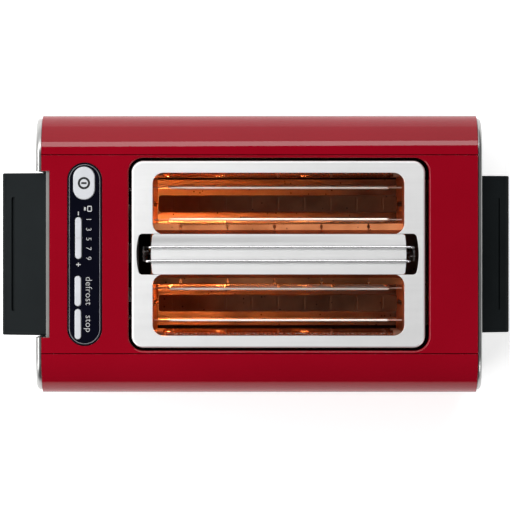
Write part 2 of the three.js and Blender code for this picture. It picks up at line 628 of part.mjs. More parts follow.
// ---------------------------------------------------------------- bun rack
// A rod bent down at both ends, each leg ending in a short pin that turns in the lift frame.
function bunBail(side, leftX, rightX) {
  const top = PLATE.top + FIT + ROD_RADIUS;
  const bottom = top - BAIL.height;
  const yTop = side * BAIL.offset;
  const yLow = side * BAIL.pivotOffset;
  const bend = 2;
  const path = new THREE.CurvePath();
  const corner = (a, b, c) => new THREE.QuadraticBezierCurve3(
    new THREE.Vector3(...a), new THREE.Vector3(...b), new THREE.Vector3(...c));
  const lean = (z) => yLow + (yTop - yLow) * (z - bottom) / (top - bottom);
  const pinLeft = LIFT.left - LIFT.sheet - 0.8;
  const pinRight = LIFT.right + LIFT.sheet + 0.8;
  const line = (a, b) => new THREE.LineCurve3(new THREE.Vector3(...a), new THREE.Vector3(...b));
  path.add(line([pinLeft, yLow, bottom], [leftX - 1.5, yLow, bottom]));
  path.add(corner([leftX - 1.5, yLow, bottom], [leftX, yLow, bottom], [leftX, lean(bottom + 1.5), bottom + 1.5]));
  path.add(line([leftX, lean(bottom + 1.5), bottom + 1.5], [leftX, lean(top - bend), top - bend]));
  path.add(corner([leftX, lean(top - bend), top - bend], [leftX, yTop, top], [leftX + bend, yTop, top]));
  path.add(line([leftX + bend, yTop, top], [rightX - bend, yTop, top]));
  path.add(corner([rightX - bend, yTop, top], [rightX, yTop, top], [rightX, lean(top - bend), top - bend]));
  path.add(line([rightX, lean(top - bend), top - bend], [rightX, lean(bottom + 1.5), bottom + 1.5]));
  path.add(corner([rightX, lean(bottom + 1.5), bottom + 1.5], [rightX, yLow, bottom], [rightX + 1.5, yLow, bottom]));
  path.add(line([rightX + 1.5, yLow, bottom], [pinRight, yLow, bottom]));
  return sweep(path, ROD_RADIUS);
}

// A round wire along a path that lies in one plane, with a ring of points at each end of each stretch.
function sweep(path, radius) {
  const points = [];
  path.curves.forEach((curve, index) => {
    const steps = curve.isLineCurve3 ? 1 : 3;
    for (let i = index ? 1 : 0; i <= steps; i += 1) points.push(curve.getPoint(i / steps));
  });
  const sides = 8;
  const normal = new THREE.Vector3()
    .subVectors(points[2], points[1])
    .cross(new THREE.Vector3().subVectors(points[Math.floor(points.length / 2)], points[2]))
    .normalize();
  const vertices = [];
  points.forEach((point, i) => {
    const before = points[Math.max(i - 1, 0)];
    const after = points[Math.min(i + 1, points.length - 1)];
    const tangent = new THREE.Vector3().subVectors(after, before).normalize();
    const out = new THREE.Vector3().crossVectors(tangent, normal).normalize();
    const across = new THREE.Vector3().crossVectors(out, tangent).normalize();
    for (let k = 0; k < sides; k += 1) {
      const angle = (2 * Math.PI * k) / sides;
      const vertex = point.clone().addScaledVector(out, radius * Math.cos(angle));
      vertices.push(...vertex.addScaledVector(across, radius * Math.sin(angle)).toArray());
    }
  });
  const triangles = [];
  for (let i = 0; i + 1 < points.length; i += 1) {
    for (let k = 0; k < sides; k += 1) {
      const a = i * sides + k;
      const b = i * sides + ((k + 1) % sides);
      triangles.push(a, b, b + sides, a, b + sides, a + sides);
    }
  }
  const last = (points.length - 1) * sides;
  for (let k = 1; k + 1 < sides; k += 1) {
    triangles.push(0, k + 1, k, last, last + k, last + k + 1);
  }
  const geometry = new THREE.BufferGeometry();
  geometry.setAttribute('position', new THREE.Float32BufferAttribute(vertices, 3));
  geometry.setIndex(triangles);
  const volume = solidOf(geometry).volume();
  if (volume > 0) return geometry;
  const flipped = [];
  for (let i = 0; i < triangles.length; i += 3) flipped.push(triangles[i], triangles[i + 2], triangles[i + 1]);
  geometry.setIndex(flipped);
  return geometry;
}

// A thin frame that slides up between the two chambers and carries both bails.
function bunLiftFrame() {
  const post = (x) => box(x, x + LIFT.sheet, -LIFT.half, LIFT.half, BUN_BAR.low, PIVOT_Z + 5);
  const left = LIFT.left - LIFT.sheet;
  const bar = box(left, LIFT.right + LIFT.sheet, -1, 1, BUN_BAR.low, BUN_BAR.high);
  const holes = [-1, 1].map((s) => rod(
    [left - 5, s * BAIL.pivotOffset, PIVOT_Z], [LIFT.right + 9, s * BAIL.pivotOffset, PIVOT_Z], ROD_RADIUS + 0.4, 10));
  return cut(join(post(left), post(LIFT.right), bar), ...holes);
}

// ---------------------------------------------------------------- places of the moving pieces
const ARM_BOTTOM = DECK_TOP - LEVER.outerDrop - 18;
const KEEPER_Z = RACK_REST - 13.2;
const MAGNET = { x: LEFT + 44, top: KEEPER_Z - TRAVEL - 0.8 };
const GUIDE = { x: WALL_LEFT - 27, y: 34, radius: 2.5, collar: 6 };
const SPRING = { radius: 4.2, wire: 0.6, turns: 9 };
const HEATER_RADIUS = 4;
const HEATER_LEVELS = [BASE_TOP + 74, DECK_TOP - 63];
const INNER_REFLECTOR = 4; // face of each inner reflector, from the middle
const INNER_LIP = { slope: 3.2, reach: 8.5, drop: 14 }; // past the centre bar's side, and below its underside
const GUARD = { top: 12.7, bottom: 15, pivot: 50, drop: 22 };
const PIVOT_Z = PLATE.top + FIT + ROD_RADIUS - BAIL.height;
const BUN_BAR = { low: PIVOT_Z - 67.8, high: PIVOT_Z - 59.8 };
const PANEL_X = LEFT + PANEL.fromEnd;
const BOARD = { top: DECK_TOP - 15.4 };
const BUTTON = { low: DECK_TOP - 8, top: DECK_TOP + 1.2 };
const ROCKER_AXIS_Z = DECK_TOP - 5.4;
const BUTTONS = [
  { name: 'power_button', x: PANEL_X - 0.5, y: 56.9, width: 17.4, length: 26.4, gap: 0.3 },
  { name: 'browning_rocker', x: PANEL_X - 5, y: 13, width: 5.2, length: 33.4, gap: 0.7 },
  { name: 'defrost_button', x: PANEL_X - 5.4, y: -29.4, width: 5.2, length: 24.2, gap: 0.3 },
  { name: 'stop_button', x: PANEL_X - 5.4, y: -55.9, width: 5.2, length: 24.2, gap: 0.3 },
];
const GLAND = { y: HALF_DEPTH - 26, z: BASE_TOP + 24, body: 6.5, bore: 3.4 };
const BAIL_SPAN = {
  rear: { left: WALL_LEFT - 2.1, right: WALL_RIGHT + 5.4 },
  front: { left: WALL_LEFT - 4.4, right: WALL_RIGHT + 3.1 },
};
const LIFT = { left: WALL_LEFT - 6.4, right: WALL_RIGHT + 7.4, sheet: 1.2, half: 6 };

// ---------------------------------------------------------------- assembly
addPart('rear_shell', sideShell(1), red);
addPart('front_shell', sideShell(-1), red);
addPart('top_deck', topDeck(PANEL_X), red);
addPart('lever_end_cap', leverEndCap(), steel);
addPart('cord_end_cap', cordEndCap(GLAND), steel);
addPart('lever_channel', leverChannel(), { color: 0x5c6064, roughness: 0.5, metalness: 0 });
addPart('side_handle', sideHandle(), black);
addPart('cord_gland', cordGland(GLAND), black);

addPart('base_plate', basePlate(), black);
addPart('crumb_tray', crumbTray(), steel);
const corners = [
  ['front_left', LEFT + FOOT_INSET.x, -1], ['front_right', RIGHT - FOOT_INSET.x, -1],
  ['rear_left', LEFT + FOOT_INSET.x, 1], ['rear_right', RIGHT - FOOT_INSET.x, 1],
];
for (const [place, x, side] of corners) {
  const rubberFoot = addPart(`foot_${place}`, foot(), { color: 0x141414, roughness: 0.8, metalness: 0 });
  rubberFoot.position.set(x, side * (HALF_DEPTH - FOOT_INSET.y), 0);
  const screw = addPart(`base_screw_${place}`, screwHead(), steel);
  screw.position.set(x < 0 ? LEFT + 14 : RIGHT - 14, side * (HALF_DEPTH - 45), BASE_BOTTOM - FIT - 0.9);
}

addPart('slot_plate', slotPlate(), steel);
addPart('centre_bar', centreBar(), steel);
addPart('chamber_wall_lever_end', chamberWall(WALL_LEFT), copper);
addPart('chamber_wall_cord_end', chamberWall(WALL_RIGHT - THIN), copper);
for (const [place, side] of [['front', -1], ['rear', 1]]) {
  addPart(`outer_reflector_${place}`, outerReflector(side), copper);
  addPart(`inner_reflector_${place}`, innerReflector(side), copper);
  addPart(`guard_inner_${place}`, breadGuard(side, true), steel);
  addPart(`guard_outer_${place}`, breadGuard(side, false), steel);
  addPart(`bread_rack_${place}`, breadRack(side), steel);
  HEATER_LEVELS.forEach((z, i) => {
    const level = i ? 'upper' : 'lower';
    const quartz = { color: 0xffb080, roughness: 0.2, metalness: 0 };
    const outerY = CHAMBER_HALF - 2 - THIN - FIT - HEATER_RADIUS;
    const innerY = INNER_REFLECTOR + THIN + 2.3 + HEATER_RADIUS;
    addPart(`heater_outer_${place}_${level}`, heaterTube(side * outerY, z), quartz);
    addPart(`heater_inner_${place}_${level}`, heaterTube(side * innerY, z), quartz);
  });
}

addPart('lift_lever', liftLever(), black);
addPart('carriage', carriage(), steel);
addPart('keeper_plate', keeperPlate(), steel);
addPart('latch_magnet', latchMagnet(), copper);
addPart('lift_spring', liftSpring(), steel);
addPart('guide_rod_front', guideRod(-1), steel);
addPart('guide_rod_rear', guideRod(1), steel);

addPart('bun_bail_rear', bunBail(1, BAIL_SPAN.rear.left, BAIL_SPAN.rear.right), steel);
addPart('bun_bail_front', bunBail(-1, BAIL_SPAN.front.left, BAIL_SPAN.front.right), steel);
addPart('bun_lift_frame', bunLiftFrame(), steel);

const grey = { color: 0xc8c8d0, roughness: 0.4, metalness: 0.1 };
addPart('control_panel', controlPanel(), { color: 0x050514, roughness: 0.1, metalness: 0 });
addPart('panel_ring', panelRing(), steel);
for (const b of BUTTONS) {
  addPart(b.name, b.name === 'browning_rocker' ? browningRocker(b) : pushButton(b), grey);
}
addPart('control_board', controlBoard(), { color: 0x1f5a34, roughness: 0.6, metalness: 0 });
addPart('light_guide', lightGuide(), { color: 0xe8f0ff, roughness: 0.2, metalness: 0 });

export default toaster;
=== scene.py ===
"""Finished visual pieces and materials of a two-slot pop-up toaster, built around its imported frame.

Lengths are in millimetres until a piece is finished, which scales it to metres. +X points to the cord
end, +Y to the rear and +Z up, as in the frame.
"""
import logging
import math
from dataclasses import dataclass
from enum import Enum
from typing import Callable, Iterable, Optional, Sequence

import bmesh
import bpy
from mathutils import Matrix, Vector


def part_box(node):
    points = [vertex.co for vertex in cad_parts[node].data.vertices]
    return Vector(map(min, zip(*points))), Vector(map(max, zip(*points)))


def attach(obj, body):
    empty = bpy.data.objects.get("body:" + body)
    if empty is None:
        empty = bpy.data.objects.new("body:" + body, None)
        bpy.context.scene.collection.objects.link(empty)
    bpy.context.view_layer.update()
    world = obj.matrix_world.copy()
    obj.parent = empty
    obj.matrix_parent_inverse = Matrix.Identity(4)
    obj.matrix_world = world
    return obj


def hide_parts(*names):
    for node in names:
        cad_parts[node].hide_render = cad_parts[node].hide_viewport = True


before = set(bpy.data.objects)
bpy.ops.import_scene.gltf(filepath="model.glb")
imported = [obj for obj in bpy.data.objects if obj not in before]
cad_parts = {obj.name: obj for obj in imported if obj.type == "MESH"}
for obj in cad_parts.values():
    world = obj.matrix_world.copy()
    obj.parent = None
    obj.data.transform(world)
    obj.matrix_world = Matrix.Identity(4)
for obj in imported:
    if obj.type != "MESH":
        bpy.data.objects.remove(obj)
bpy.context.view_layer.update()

LOG = logging.getLogger("toaster")
MM = 0.001
SHARP = math.radians(32)
Span = tuple[float, float]
Point = tuple[float, float, float]
Colour = tuple[float, float, float]


class Axis(Enum):
    """A direction of the toaster's frame."""

    X = (1.0, 0.0, 0.0)
    Y = (0.0, 1.0, 0.0)
    Z = (0.0, 0.0, 1.0)


class Body(Enum):
    """The moving groups of the frame that pieces ride on."""

    BODY = "body"
    LIFT = "lift"
    BUN_LIFT = "bun_lift"
    TRAY = "crumb_tray"


def spans(node: str) -> tuple[Span, Span, Span]:
    """The extent of a frame node along X, Y and Z.

    Args:
        node: The node's name.

    Returns:
        Three (low, high) pairs in millimetres.
    """
    low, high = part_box(node)
    return tuple((a / MM, b / MM) for a, b in zip(low, high))


# ------------------------------------------------------------------------------------ solids
class Solid:
    """A mesh in the making, shaped by bmesh operators, in millimetres."""

    def __init__(self, bm: Optional[bmesh.types.BMesh] = None) -> None:
        """Starts from a bmesh, or from nothing."""
        self.bm = bm or bmesh.new()

    @classmethod
    def block(cls, x: Span, y: Span, z: Span, corner: float = 0.0, segments: int = 10) -> "Solid":
        """A box, whose upright edges may be rounded.

        Args:
            x: Extent along X.
            y: Extent along Y.
            z: Extent along Z.
            corner: Radius of the four upright edges.
            segments: Steps round each of them.

        Returns:
            The new solid.
        """
        solid = cls()
        bmesh.ops.create_cube(solid.bm, size=1.0)
        size = Vector((x[1] - x[0], y[1] - y[0], z[1] - z[0]))
        middle = Vector(((x[0] + x[1]) / 2, (y[0] + y[1]) / 2, (z[0] + z[1]) / 2))
        bmesh.ops.transform(
            solid.bm, matrix=Matrix.Translation(middle) @ Matrix.Diagonal(size).to_4x4(),
            verts=solid.bm.verts)
        if corner:
            limit = min(size.x, size.y) / 2 - 0.001
            solid.bevel(min(corner, limit), segments, lambda e: _runs_along(e, Axis.Z))
            bmesh.ops.remove_doubles(solid.bm, verts=solid.bm.verts, dist=0.003)
        return solid

    @classmethod
    def stadium(cls, centre: tuple[float, float], width: float, length: float, z: Span) -> "Solid":
        """An upright prism with round ends, long along Y."""
        x, y = centre
        return cls.block((x - width / 2, x + width / 2), (y - length / 2, y + length / 2), z, width / 2, 14)

    @classmethod
    def bar(cls, start: Point, end: Point, radius: float, segments: int = 24) -> "Solid":
        """A straight round bar between two points."""
        solid = cls()
        a, b = Vector(start), Vector(end)
        turn = (b - a).to_track_quat("Z", "Y").to_matrix().to_4x4()
        bmesh.ops.create_cone(
            solid.bm, cap_ends=True, segments=segments, radius1=radius, radius2=radius,
            depth=(b - a).length, matrix=Matrix.Translation((a + b) / 2) @ turn)
        return solid

    @classmethod
    def turned(cls, profile: Sequence[Span], centre: Point, axis: Axis, steps: int = 40) -> "Solid":
        """A turned piece: a profile of (radius, height) pairs spun about an axis through the centre.

        Args:
            profile: Points from the axis outwards and back to it, or a closed ring.
            centre: Point on the axis where height is nought.
            axis: Direction of the axis.
            steps: Facets round the piece.

        Returns:
            The new solid.
        """
        solid = cls()
        verts = [solid.bm.verts.new((r, 0.0, h)) for r, h in profile]
        edges = [solid.bm.edges.new(pair) for pair in zip(verts, verts[1:])]
        if profile[0][0] > 0.0 and profile[-1][0] > 0.0:
            edges.append(solid.bm.edges.new((verts[-1], verts[0])))
        bmesh.ops.spin(
            solid.bm, geom=verts + edges, cent=(0, 0, 0), axis=(0, 0, 1), angle=math.tau, steps=steps,
            use_merge=True)
        bmesh.ops.remove_doubles(solid.bm, verts=solid.bm.verts, dist=0.002)
        turn = Vector(axis.value).to_track_quat("Z", "Y").to_matrix().to_4x4()
        bmesh.ops.transform(solid.bm, matrix=Matrix.Translation(centre) @ turn, verts=solid.bm.verts)
        return solid.face_out()

    @classmethod
    def bowed(cls, x: Span, half: float, sag: float, z: Span, corner: float = 0.0) -> "Solid":
        """A long prism on the middle line, whose two ends are arcs that bow outwards.

        Args:
            x: Extent along X, to the tops of the arcs.
            half: Half its width along Y.
            sag: How far each end bows out.
            z: Extent along Z.
            corner: Radius of its four upright edges.

        Returns:
            The new solid.
        """
        solid = cls()
        radius = (half * half + sag * sag) / (2 * sag)
        sweep = 2 * math.asin(half / radius)
        loop = []
        for end, way in ((x[0], 1), (x[1], -1)):
            first = solid.bm.verts.new((end + way * sag, way * half, z[0]))
            bmesh.ops.spin(
                solid.bm, geom=[first], cent=(end + way * radius, 0, z[0]), axis=(0, 0, 1), angle=sweep,
                steps=14)
            solid.bm.verts.ensure_lookup_table()
            loop.append((first, solid.bm.verts[-1]))
        solid.bm.edges.new((loop[0][1], loop[1][0]))
        solid.bm.edges.new((loop[1][1], loop[0][0]))
        bmesh.ops.contextual_create(solid.bm, geom=solid.bm.edges[:])
        made = bmesh.ops.extrude_face_region(solid.bm, geom=solid.bm.faces[:])
        moved = [g for g in made["geom"] if isinstance(g, bmesh.types.BMVert)]
        bmesh.ops.translate(solid.bm, vec=(0, 0, z[1] - z[0]), verts=moved)
        solid.face_out()
        if corner:
            solid.bevel(corner, 6, lambda e: _runs_along(e, Axis.Z) and abs(abs(_middle(e).y) - half) < 0.01)
        return solid

    @classmethod
    def prism(cls, outline: Sequence[tuple[float, float]], y: Span) -> "Solid":
        """An outline drawn in X and Z, carried along Y."""
        solid = cls()
        face = solid.bm.faces.new([solid.bm.verts.new((px, y[0], pz)) for px, pz in outline])
        made = bmesh.ops.extrude_face_region(solid.bm, geom=[face])
        moved = [g for g in made["geom"] if isinstance(g, bmesh.types.BMVert)]
        bmesh.ops.translate(solid.bm, vec=(0, y[1] - y[0], 0), verts=moved)
        return solid.face_out()

    @classmethod
    def copied(cls, node: str) -> "Solid":
        """A merged copy of a frame node's mesh, with flat areas made whole, ready for finer edges."""
        solid = cls()
        solid.bm.from_mesh(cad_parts[node].data)
        bmesh.ops.scale(solid.bm, vec=(1 / MM,) * 3, verts=solid.bm.verts)
        bmesh.ops.remove_doubles(solid.bm, verts=solid.bm.verts, dist=0.004)
        bmesh.ops.dissolve_limit(
            solid.bm, angle_limit=math.radians(1), verts=solid.bm.verts, edges=solid.bm.edges)
        return solid

    def face_out(self) -> "Solid":
        """Turns the faces outwards."""
        bmesh.ops.recalc_face_normals(self.bm, faces=self.bm.faces)
        return self

    def bevel(self, width: float, segments: int = 3,
              pick: Optional[Callable[[bmesh.types.BMEdge], bool]] = None, angle: float = SHARP) -> "Solid":
        """Rounds the edges that a test picks, or every sharp one.

        Args:
            width: Radius of the rounding.
            segments: Steps across it.
            pick: Test that an edge has to pass.
            angle: An edge flatter than this stays as it is when there is no test.

        Returns:
            This solid.
        """
        test = pick or (lambda e: True)
        edges = [
            e for e in self.bm.edges
            if len(e.link_faces) == 2 and e.calc_face_angle(0.0) > (0.01 if pick else angle) and test(e)]
        if edges:
            bmesh.ops.bevel(
                self.bm, geom=edges, offset=width, offset_type="OFFSET", affect="EDGES", segments=segments,
                profile=0.5, material=-1, clamp_overlap=True)
        return self

    def _combine(self, other: "Solid", operation: str) -> "Solid":
        """Applies a boolean with another solid, which is used up."""
        objects = []
        for solid in (self, other):
            mesh = bpy.data.meshes.new("work")
            solid.bm.to_mesh(mesh)
            solid.bm.free()
            obj = bpy.data.objects.new("work", mesh)
            bpy.context.scene.collection.objects.link(obj)
            objects.append(obj)
        modifier = objects[0].modifiers.new("combine", "BOOLEAN")
        modifier.operation = operation
        modifier.solver = "EXACT"
        modifier.object = objects[1]
        depsgraph = bpy.context.evaluated_depsgraph_get()
        depsgraph.update()
        self.bm = bmesh.new()
        self.bm.from_mesh(objects[0].evaluated_get(depsgraph).to_mesh())
        for obj in objects:
            mesh = obj.data
            bpy.data.objects.remove(obj)
            bpy.data.meshes.remove(mesh)
        bmesh.ops.remove_doubles(self.bm, verts=self.bm.verts, dist=0.002)
        return self

    def cut(self, *tools: "Solid") -> "Solid":
        """Takes the tools' volumes away."""
        for tool in tools:
            self._combine(tool, "DIFFERENCE")
        return self

    def join(self, *others: "Solid") -> "Solid":
        """Joins the others into one skin."""
        for other in others:
            self._combine(other, "UNION")
        return self

    def beside(self, *others: "Solid") -> "Solid":
        """Adds the others as separate shells of the same piece."""
        for other in others:
            mesh = bpy.data.meshes.new("work")
            other.bm.to_mesh(mesh)
            other.bm.free()
            self.bm.from_mesh(mesh)
            bpy.data.meshes.remove(mesh)
        return self


def _runs_along(edge: bmesh.types.BMEdge, axis: Axis) -> bool:
    """Whether an edge lies along an axis."""
    run = edge.verts[1].co - edge.verts[0].co
    return run.length > 1e-6 and abs(run.normalized().dot(Vector(axis.value))) > 0.999


def _middle(edge: bmesh.types.BMEdge) -> Vector:
    """The middle point of an edge."""
    return (edge.verts[0].co + edge.verts[1].co) / 2


def at_height(z: float) -> Callable[[bmesh.types.BMEdge], bool]:
    """A test for edges that lie level at a height."""
    return lambda e: all(abs(v.co.z - z) < 0.02 for v in e.verts)


def fillet(points: Sequence[Point], radius: float, steps: int = 6) -> list[Vector]:
    """Rounds the corners of an open path.

    Args:
        points: The path's corners.
        radius: How far from each corner its bend begins.
        steps: Points in each bend.

    Returns:
        The points of the rounded path.
    """
    corners = [Vector(p) for p in points]
    path = [corners[0]]
    for before, corner, after in zip(corners, corners[1:], corners[2:]):
        start = corner + (before - corner).normalized() * radius
        end = corner + (after - corner).normalized() * radius
        for i in range(steps + 1):
            t = i / steps
            path.append(start * (1 - t) ** 2 + corner * 2 * t * (1 - t) + end * t * t)
    path.append(corners[-1])
    return path


def wires(paths: Iterable[tuple[Sequence[Vector], float]], round_steps: int = 3) -> Solid:
    """Round wires along paths, as separate closed shells of one solid.

    Args:
        paths: Pairs of a path and the wire's radius.
        round_steps: Fineness of the wires' section.

    Returns:
        The new solid.
    """
    solid = Solid()
    for path, radius in paths:
        curve = bpy.data.curves.new("wire", "CURVE")
        curve.dimensions = "3D"
        curve.bevel_depth = radius
        curve.bevel_resolution = round_steps
        curve.use_fill_caps = True
        spline = curve.splines.new("POLY")
        spline.points.add(len(path) - 1)
        for point, place in zip(spline.points, path):
            point.co = (*place, 1.0)
        obj = bpy.data.objects.new("wire", curve)
        bpy.context.scene.collection.objects.link(obj)
        depsgraph = bpy.context.evaluated_depsgraph_get()
        depsgraph.update()
        piece = bmesh.new()
        piece.from_mesh(obj.evaluated_get(depsgraph).to_mesh())
        bmesh.ops.remove_doubles(piece, verts=piece.verts, dist=0.0005)
        bpy.data.objects.remove(obj)
        bpy.data.curves.remove(curve)
        solid.beside(Solid(piece).face_out())
    return solid


def lettering(text: str, size: float, centre: Point, turn: float, thickness: float = 0.06,
              spacing: float = 1.0) -> Solid:
    """Flat raised letters in the built-in face.

    Args:
        text: What they say.
        size: Height of the type.
        centre: Middle of the text.
        turn: Angle about +Z, in radians.
        thickness: How far they stand proud.
        spacing: Space between characters.

    Returns:
        The new solid.
    """
    curve = bpy.data.curves.new("letters", "FONT")
    curve.body = text
    curve.size = size
    curve.extrude = thickness
    curve.offset = -0.06
    curve.resolution_u = 6
    curve.space_character = spacing
    curve.align_x = "CENTER"
    curve.align_y = "CENTER"
    obj = bpy.data.objects.new("letters", curve)
    bpy.context.scene.collection.objects.link(obj)
    depsgraph = bpy.context.evaluated_depsgraph_get()
    depsgraph.update()
    bm = bmesh.new()
    bm.from_mesh(obj.evaluated_get(depsgraph).to_mesh())
    bpy.data.objects.remove(obj)
    bpy.data.curves.remove(curve)
    bmesh.ops.remove_doubles(bm, verts=bm.verts, dist=0.0005)
    place = Matrix.Translation(centre) @ Matrix.Rotation(turn, 4, "Z")
    bmesh.ops.transform(bm, matrix=place, verts=bm.verts)
    return Solid(bm).face_out()


# ------------------------------------------------------------------------------------ materials
class Graph:
    """A node tree with short calls for adding nodes and links."""

    def __init__(self, tree: bpy.types.NodeTree) -> None:
        """Wraps a node tree."""
        self.tree = tree

    def add(self, kind: str, inputs: Optional[dict] = None, **settings) -> bpy.types.Node:
        """Adds a node.

        Args:
            kind: The node's type, without its ShaderNode prefix.
            inputs: Socket names with a value, or with the output socket to link from.
            **settings: Attributes of the node.

        Returns:
            The new node.
        """
        node = self.tree.nodes.new(kind if kind.startswith("Node") else "ShaderNode" + kind)
        for name, value in settings.items():
            setattr(node, name, value)
        for name, value in (inputs or {}).items():
            if isinstance(value, bpy.types.NodeSocket):
                self.tree.links.new(value, node.inputs[name])
            else:
                node.inputs[name].default_value = value
        return node

    def mix(self, factor: bpy.types.NodeSocket, low: Colour, high: Colour) -> bpy.types.NodeSocket:
        """Two colours mixed by a factor."""
        node = self.add("Mix", {0: factor}, data_type="RGBA")
        node.inputs[6].default_value = (*low, 1.0)
        node.inputs[7].default_value = (*high, 1.0)
        return node.outputs[2]

    def ranged(self, value: bpy.types.NodeSocket, low: float, high: float) -> bpy.types.NodeSocket:
        """A value from 0 to 1 spread over a range."""
        return self.add("MapRange", {"Value": value, "To Min": low, "To Max": high}).outputs[0]


def effect(name: str, inputs: dict[str, float], outputs: Sequence[str],
           build: Callable[[Graph, bpy.types.Node], dict]) -> bpy.types.NodeTree:
    """A shared effect as a node group, made once.

    Args:
        name: The group's name.
        inputs: Its number inputs and their defaults. A Vector input is added first.
        outputs: Its value outputs.
        build: Fills the group and returns its output sockets by name.

    Returns:
        The node group.
    """
    if name in bpy.data.node_groups:
        return bpy.data.node_groups[name]
    group = bpy.data.node_groups.new(name, "ShaderNodeTree")
    group.interface.new_socket(name="Vector", in_out="INPUT", socket_type="NodeSocketVector")
    for key, value in inputs.items():
        socket = group.interface.new_socket(name=key, in_out="INPUT", socket_type="NodeSocketFloat")
        socket.default_value = value
    for key in outputs:
        group.interface.new_socket(name=key, in_out="OUTPUT", socket_type="NodeSocketFloat")
    graph = Graph(group)
    entry = graph.add("NodeGroupInput")
    leave = graph.add("NodeGroupOutput")
    for key, socket in build(graph, entry).items():
        group.links.new(socket, leave.inputs[key])
    return group


def brushed_lines(along: Axis) -> bpy.types.NodeTree:
    """Fine straight scratches, as brushing leaves them.

    Args:
        along: The axis that the scratches run along.

    Returns:
        The node group.
    """
    def stretched(low: float, high: float) -> Point:
        return tuple(low if part else high for part in along.value)

    def build(graph: Graph, entry: bpy.types.Node) -> dict:
        stretch = graph.add("VectorMath", {0: entry.outputs["Vector"], 1: stretched(14.0, 2600.0)},
                            operation="MULTIPLY")
        fine = graph.add("TexNoise", {"Vector": stretch.outputs[0], "Scale": 1.0, "Detail": 3.0})
        broad = graph.add("VectorMath", {0: entry.outputs["Vector"], 1: stretched(4.0, 420.0)},
                          operation="MULTIPLY")
        wide = graph.add("TexNoise", {"Vector": broad.outputs[0], "Scale": 1.0, "Detail": 2.0})
        both = graph.add("Math", {0: fine.outputs[0], 1: wide.outputs[0]}, operation="ADD")
        half = graph.add("Math", {0: both.outputs[0], 1: 0.5}, operation="MULTIPLY")
        strong = graph.add("Math", {0: half.outputs[0], 1: entry.outputs["Amount"]}, operation="MULTIPLY")
        return {"Line": half.outputs[0], "Height": strong.outputs[0]}

    return effect(f"brushed_lines_{along.name.lower()}", {"Amount": 1.0}, ("Line", "Height"), build)


def mottle() -> bpy.types.NodeTree:
    """Soft uneven patches, for handling marks, heat and slight colour drift."""
    def build(graph: Graph, entry: bpy.types.Node) -> dict:
        noise = graph.add("TexNoise", {
            "Vector": entry.outputs["Vector"], "Scale": entry.outputs["Scale"], "Detail": 4.0,
            "Roughness": 0.55})
        spread = graph.add("MapRange", {"Value": noise.outputs[0], "From Min": 0.32, "From Max": 0.68})
        return {"Mask": spread.outputs[0]}

    return effect("mottle", {"Scale": 20.0}, ("Mask",), build)


def specks() -> bpy.types.NodeTree:
    """Small scattered specks, such as crumbs, dust or moulding grain."""
    def build(graph: Graph, entry: bpy.types.Node) -> dict:
        cells = graph.add("TexVoronoi", {"Vector": entry.outputs["Vector"], "Scale": entry.outputs["Scale"]})
        size = graph.add(
            "Math", {0: cells.outputs["Distance"], 1: entry.outputs["Size"]}, operation="LESS_THAN")
        pick = graph.add("SeparateColor", {0: cells.outputs["Color"]})
        rare = graph.add("Math", {0: pick.outputs[0], 1: entry.outputs["Share"]}, operation="LESS_THAN")
        both = graph.add("Math", {0: size.outputs[0], 1: rare.outputs[0]}, operation="MULTIPLY")
        return {"Mask": both.outputs[0]}

    return effect("specks", {"Scale": 400.0, "Size": 0.25, "Share": 0.2}, ("Mask",), build)


def fine_grain() -> bpy.types.NodeTree:
    """The fine raised grain of a textured mould, or the slight waves of sprayed paint."""
    def build(graph: Graph, entry: bpy.types.Node) -> dict:
        noise = graph.add("TexNoise", {
            "Vector": entry.outputs["Vector"], "Scale": entry.outputs["Scale"], "Detail": 2.0})
        return {"Height": noise.outputs[0]}

    return effect("fine_grain", {"Scale": 1500.0}, ("Height",), build)


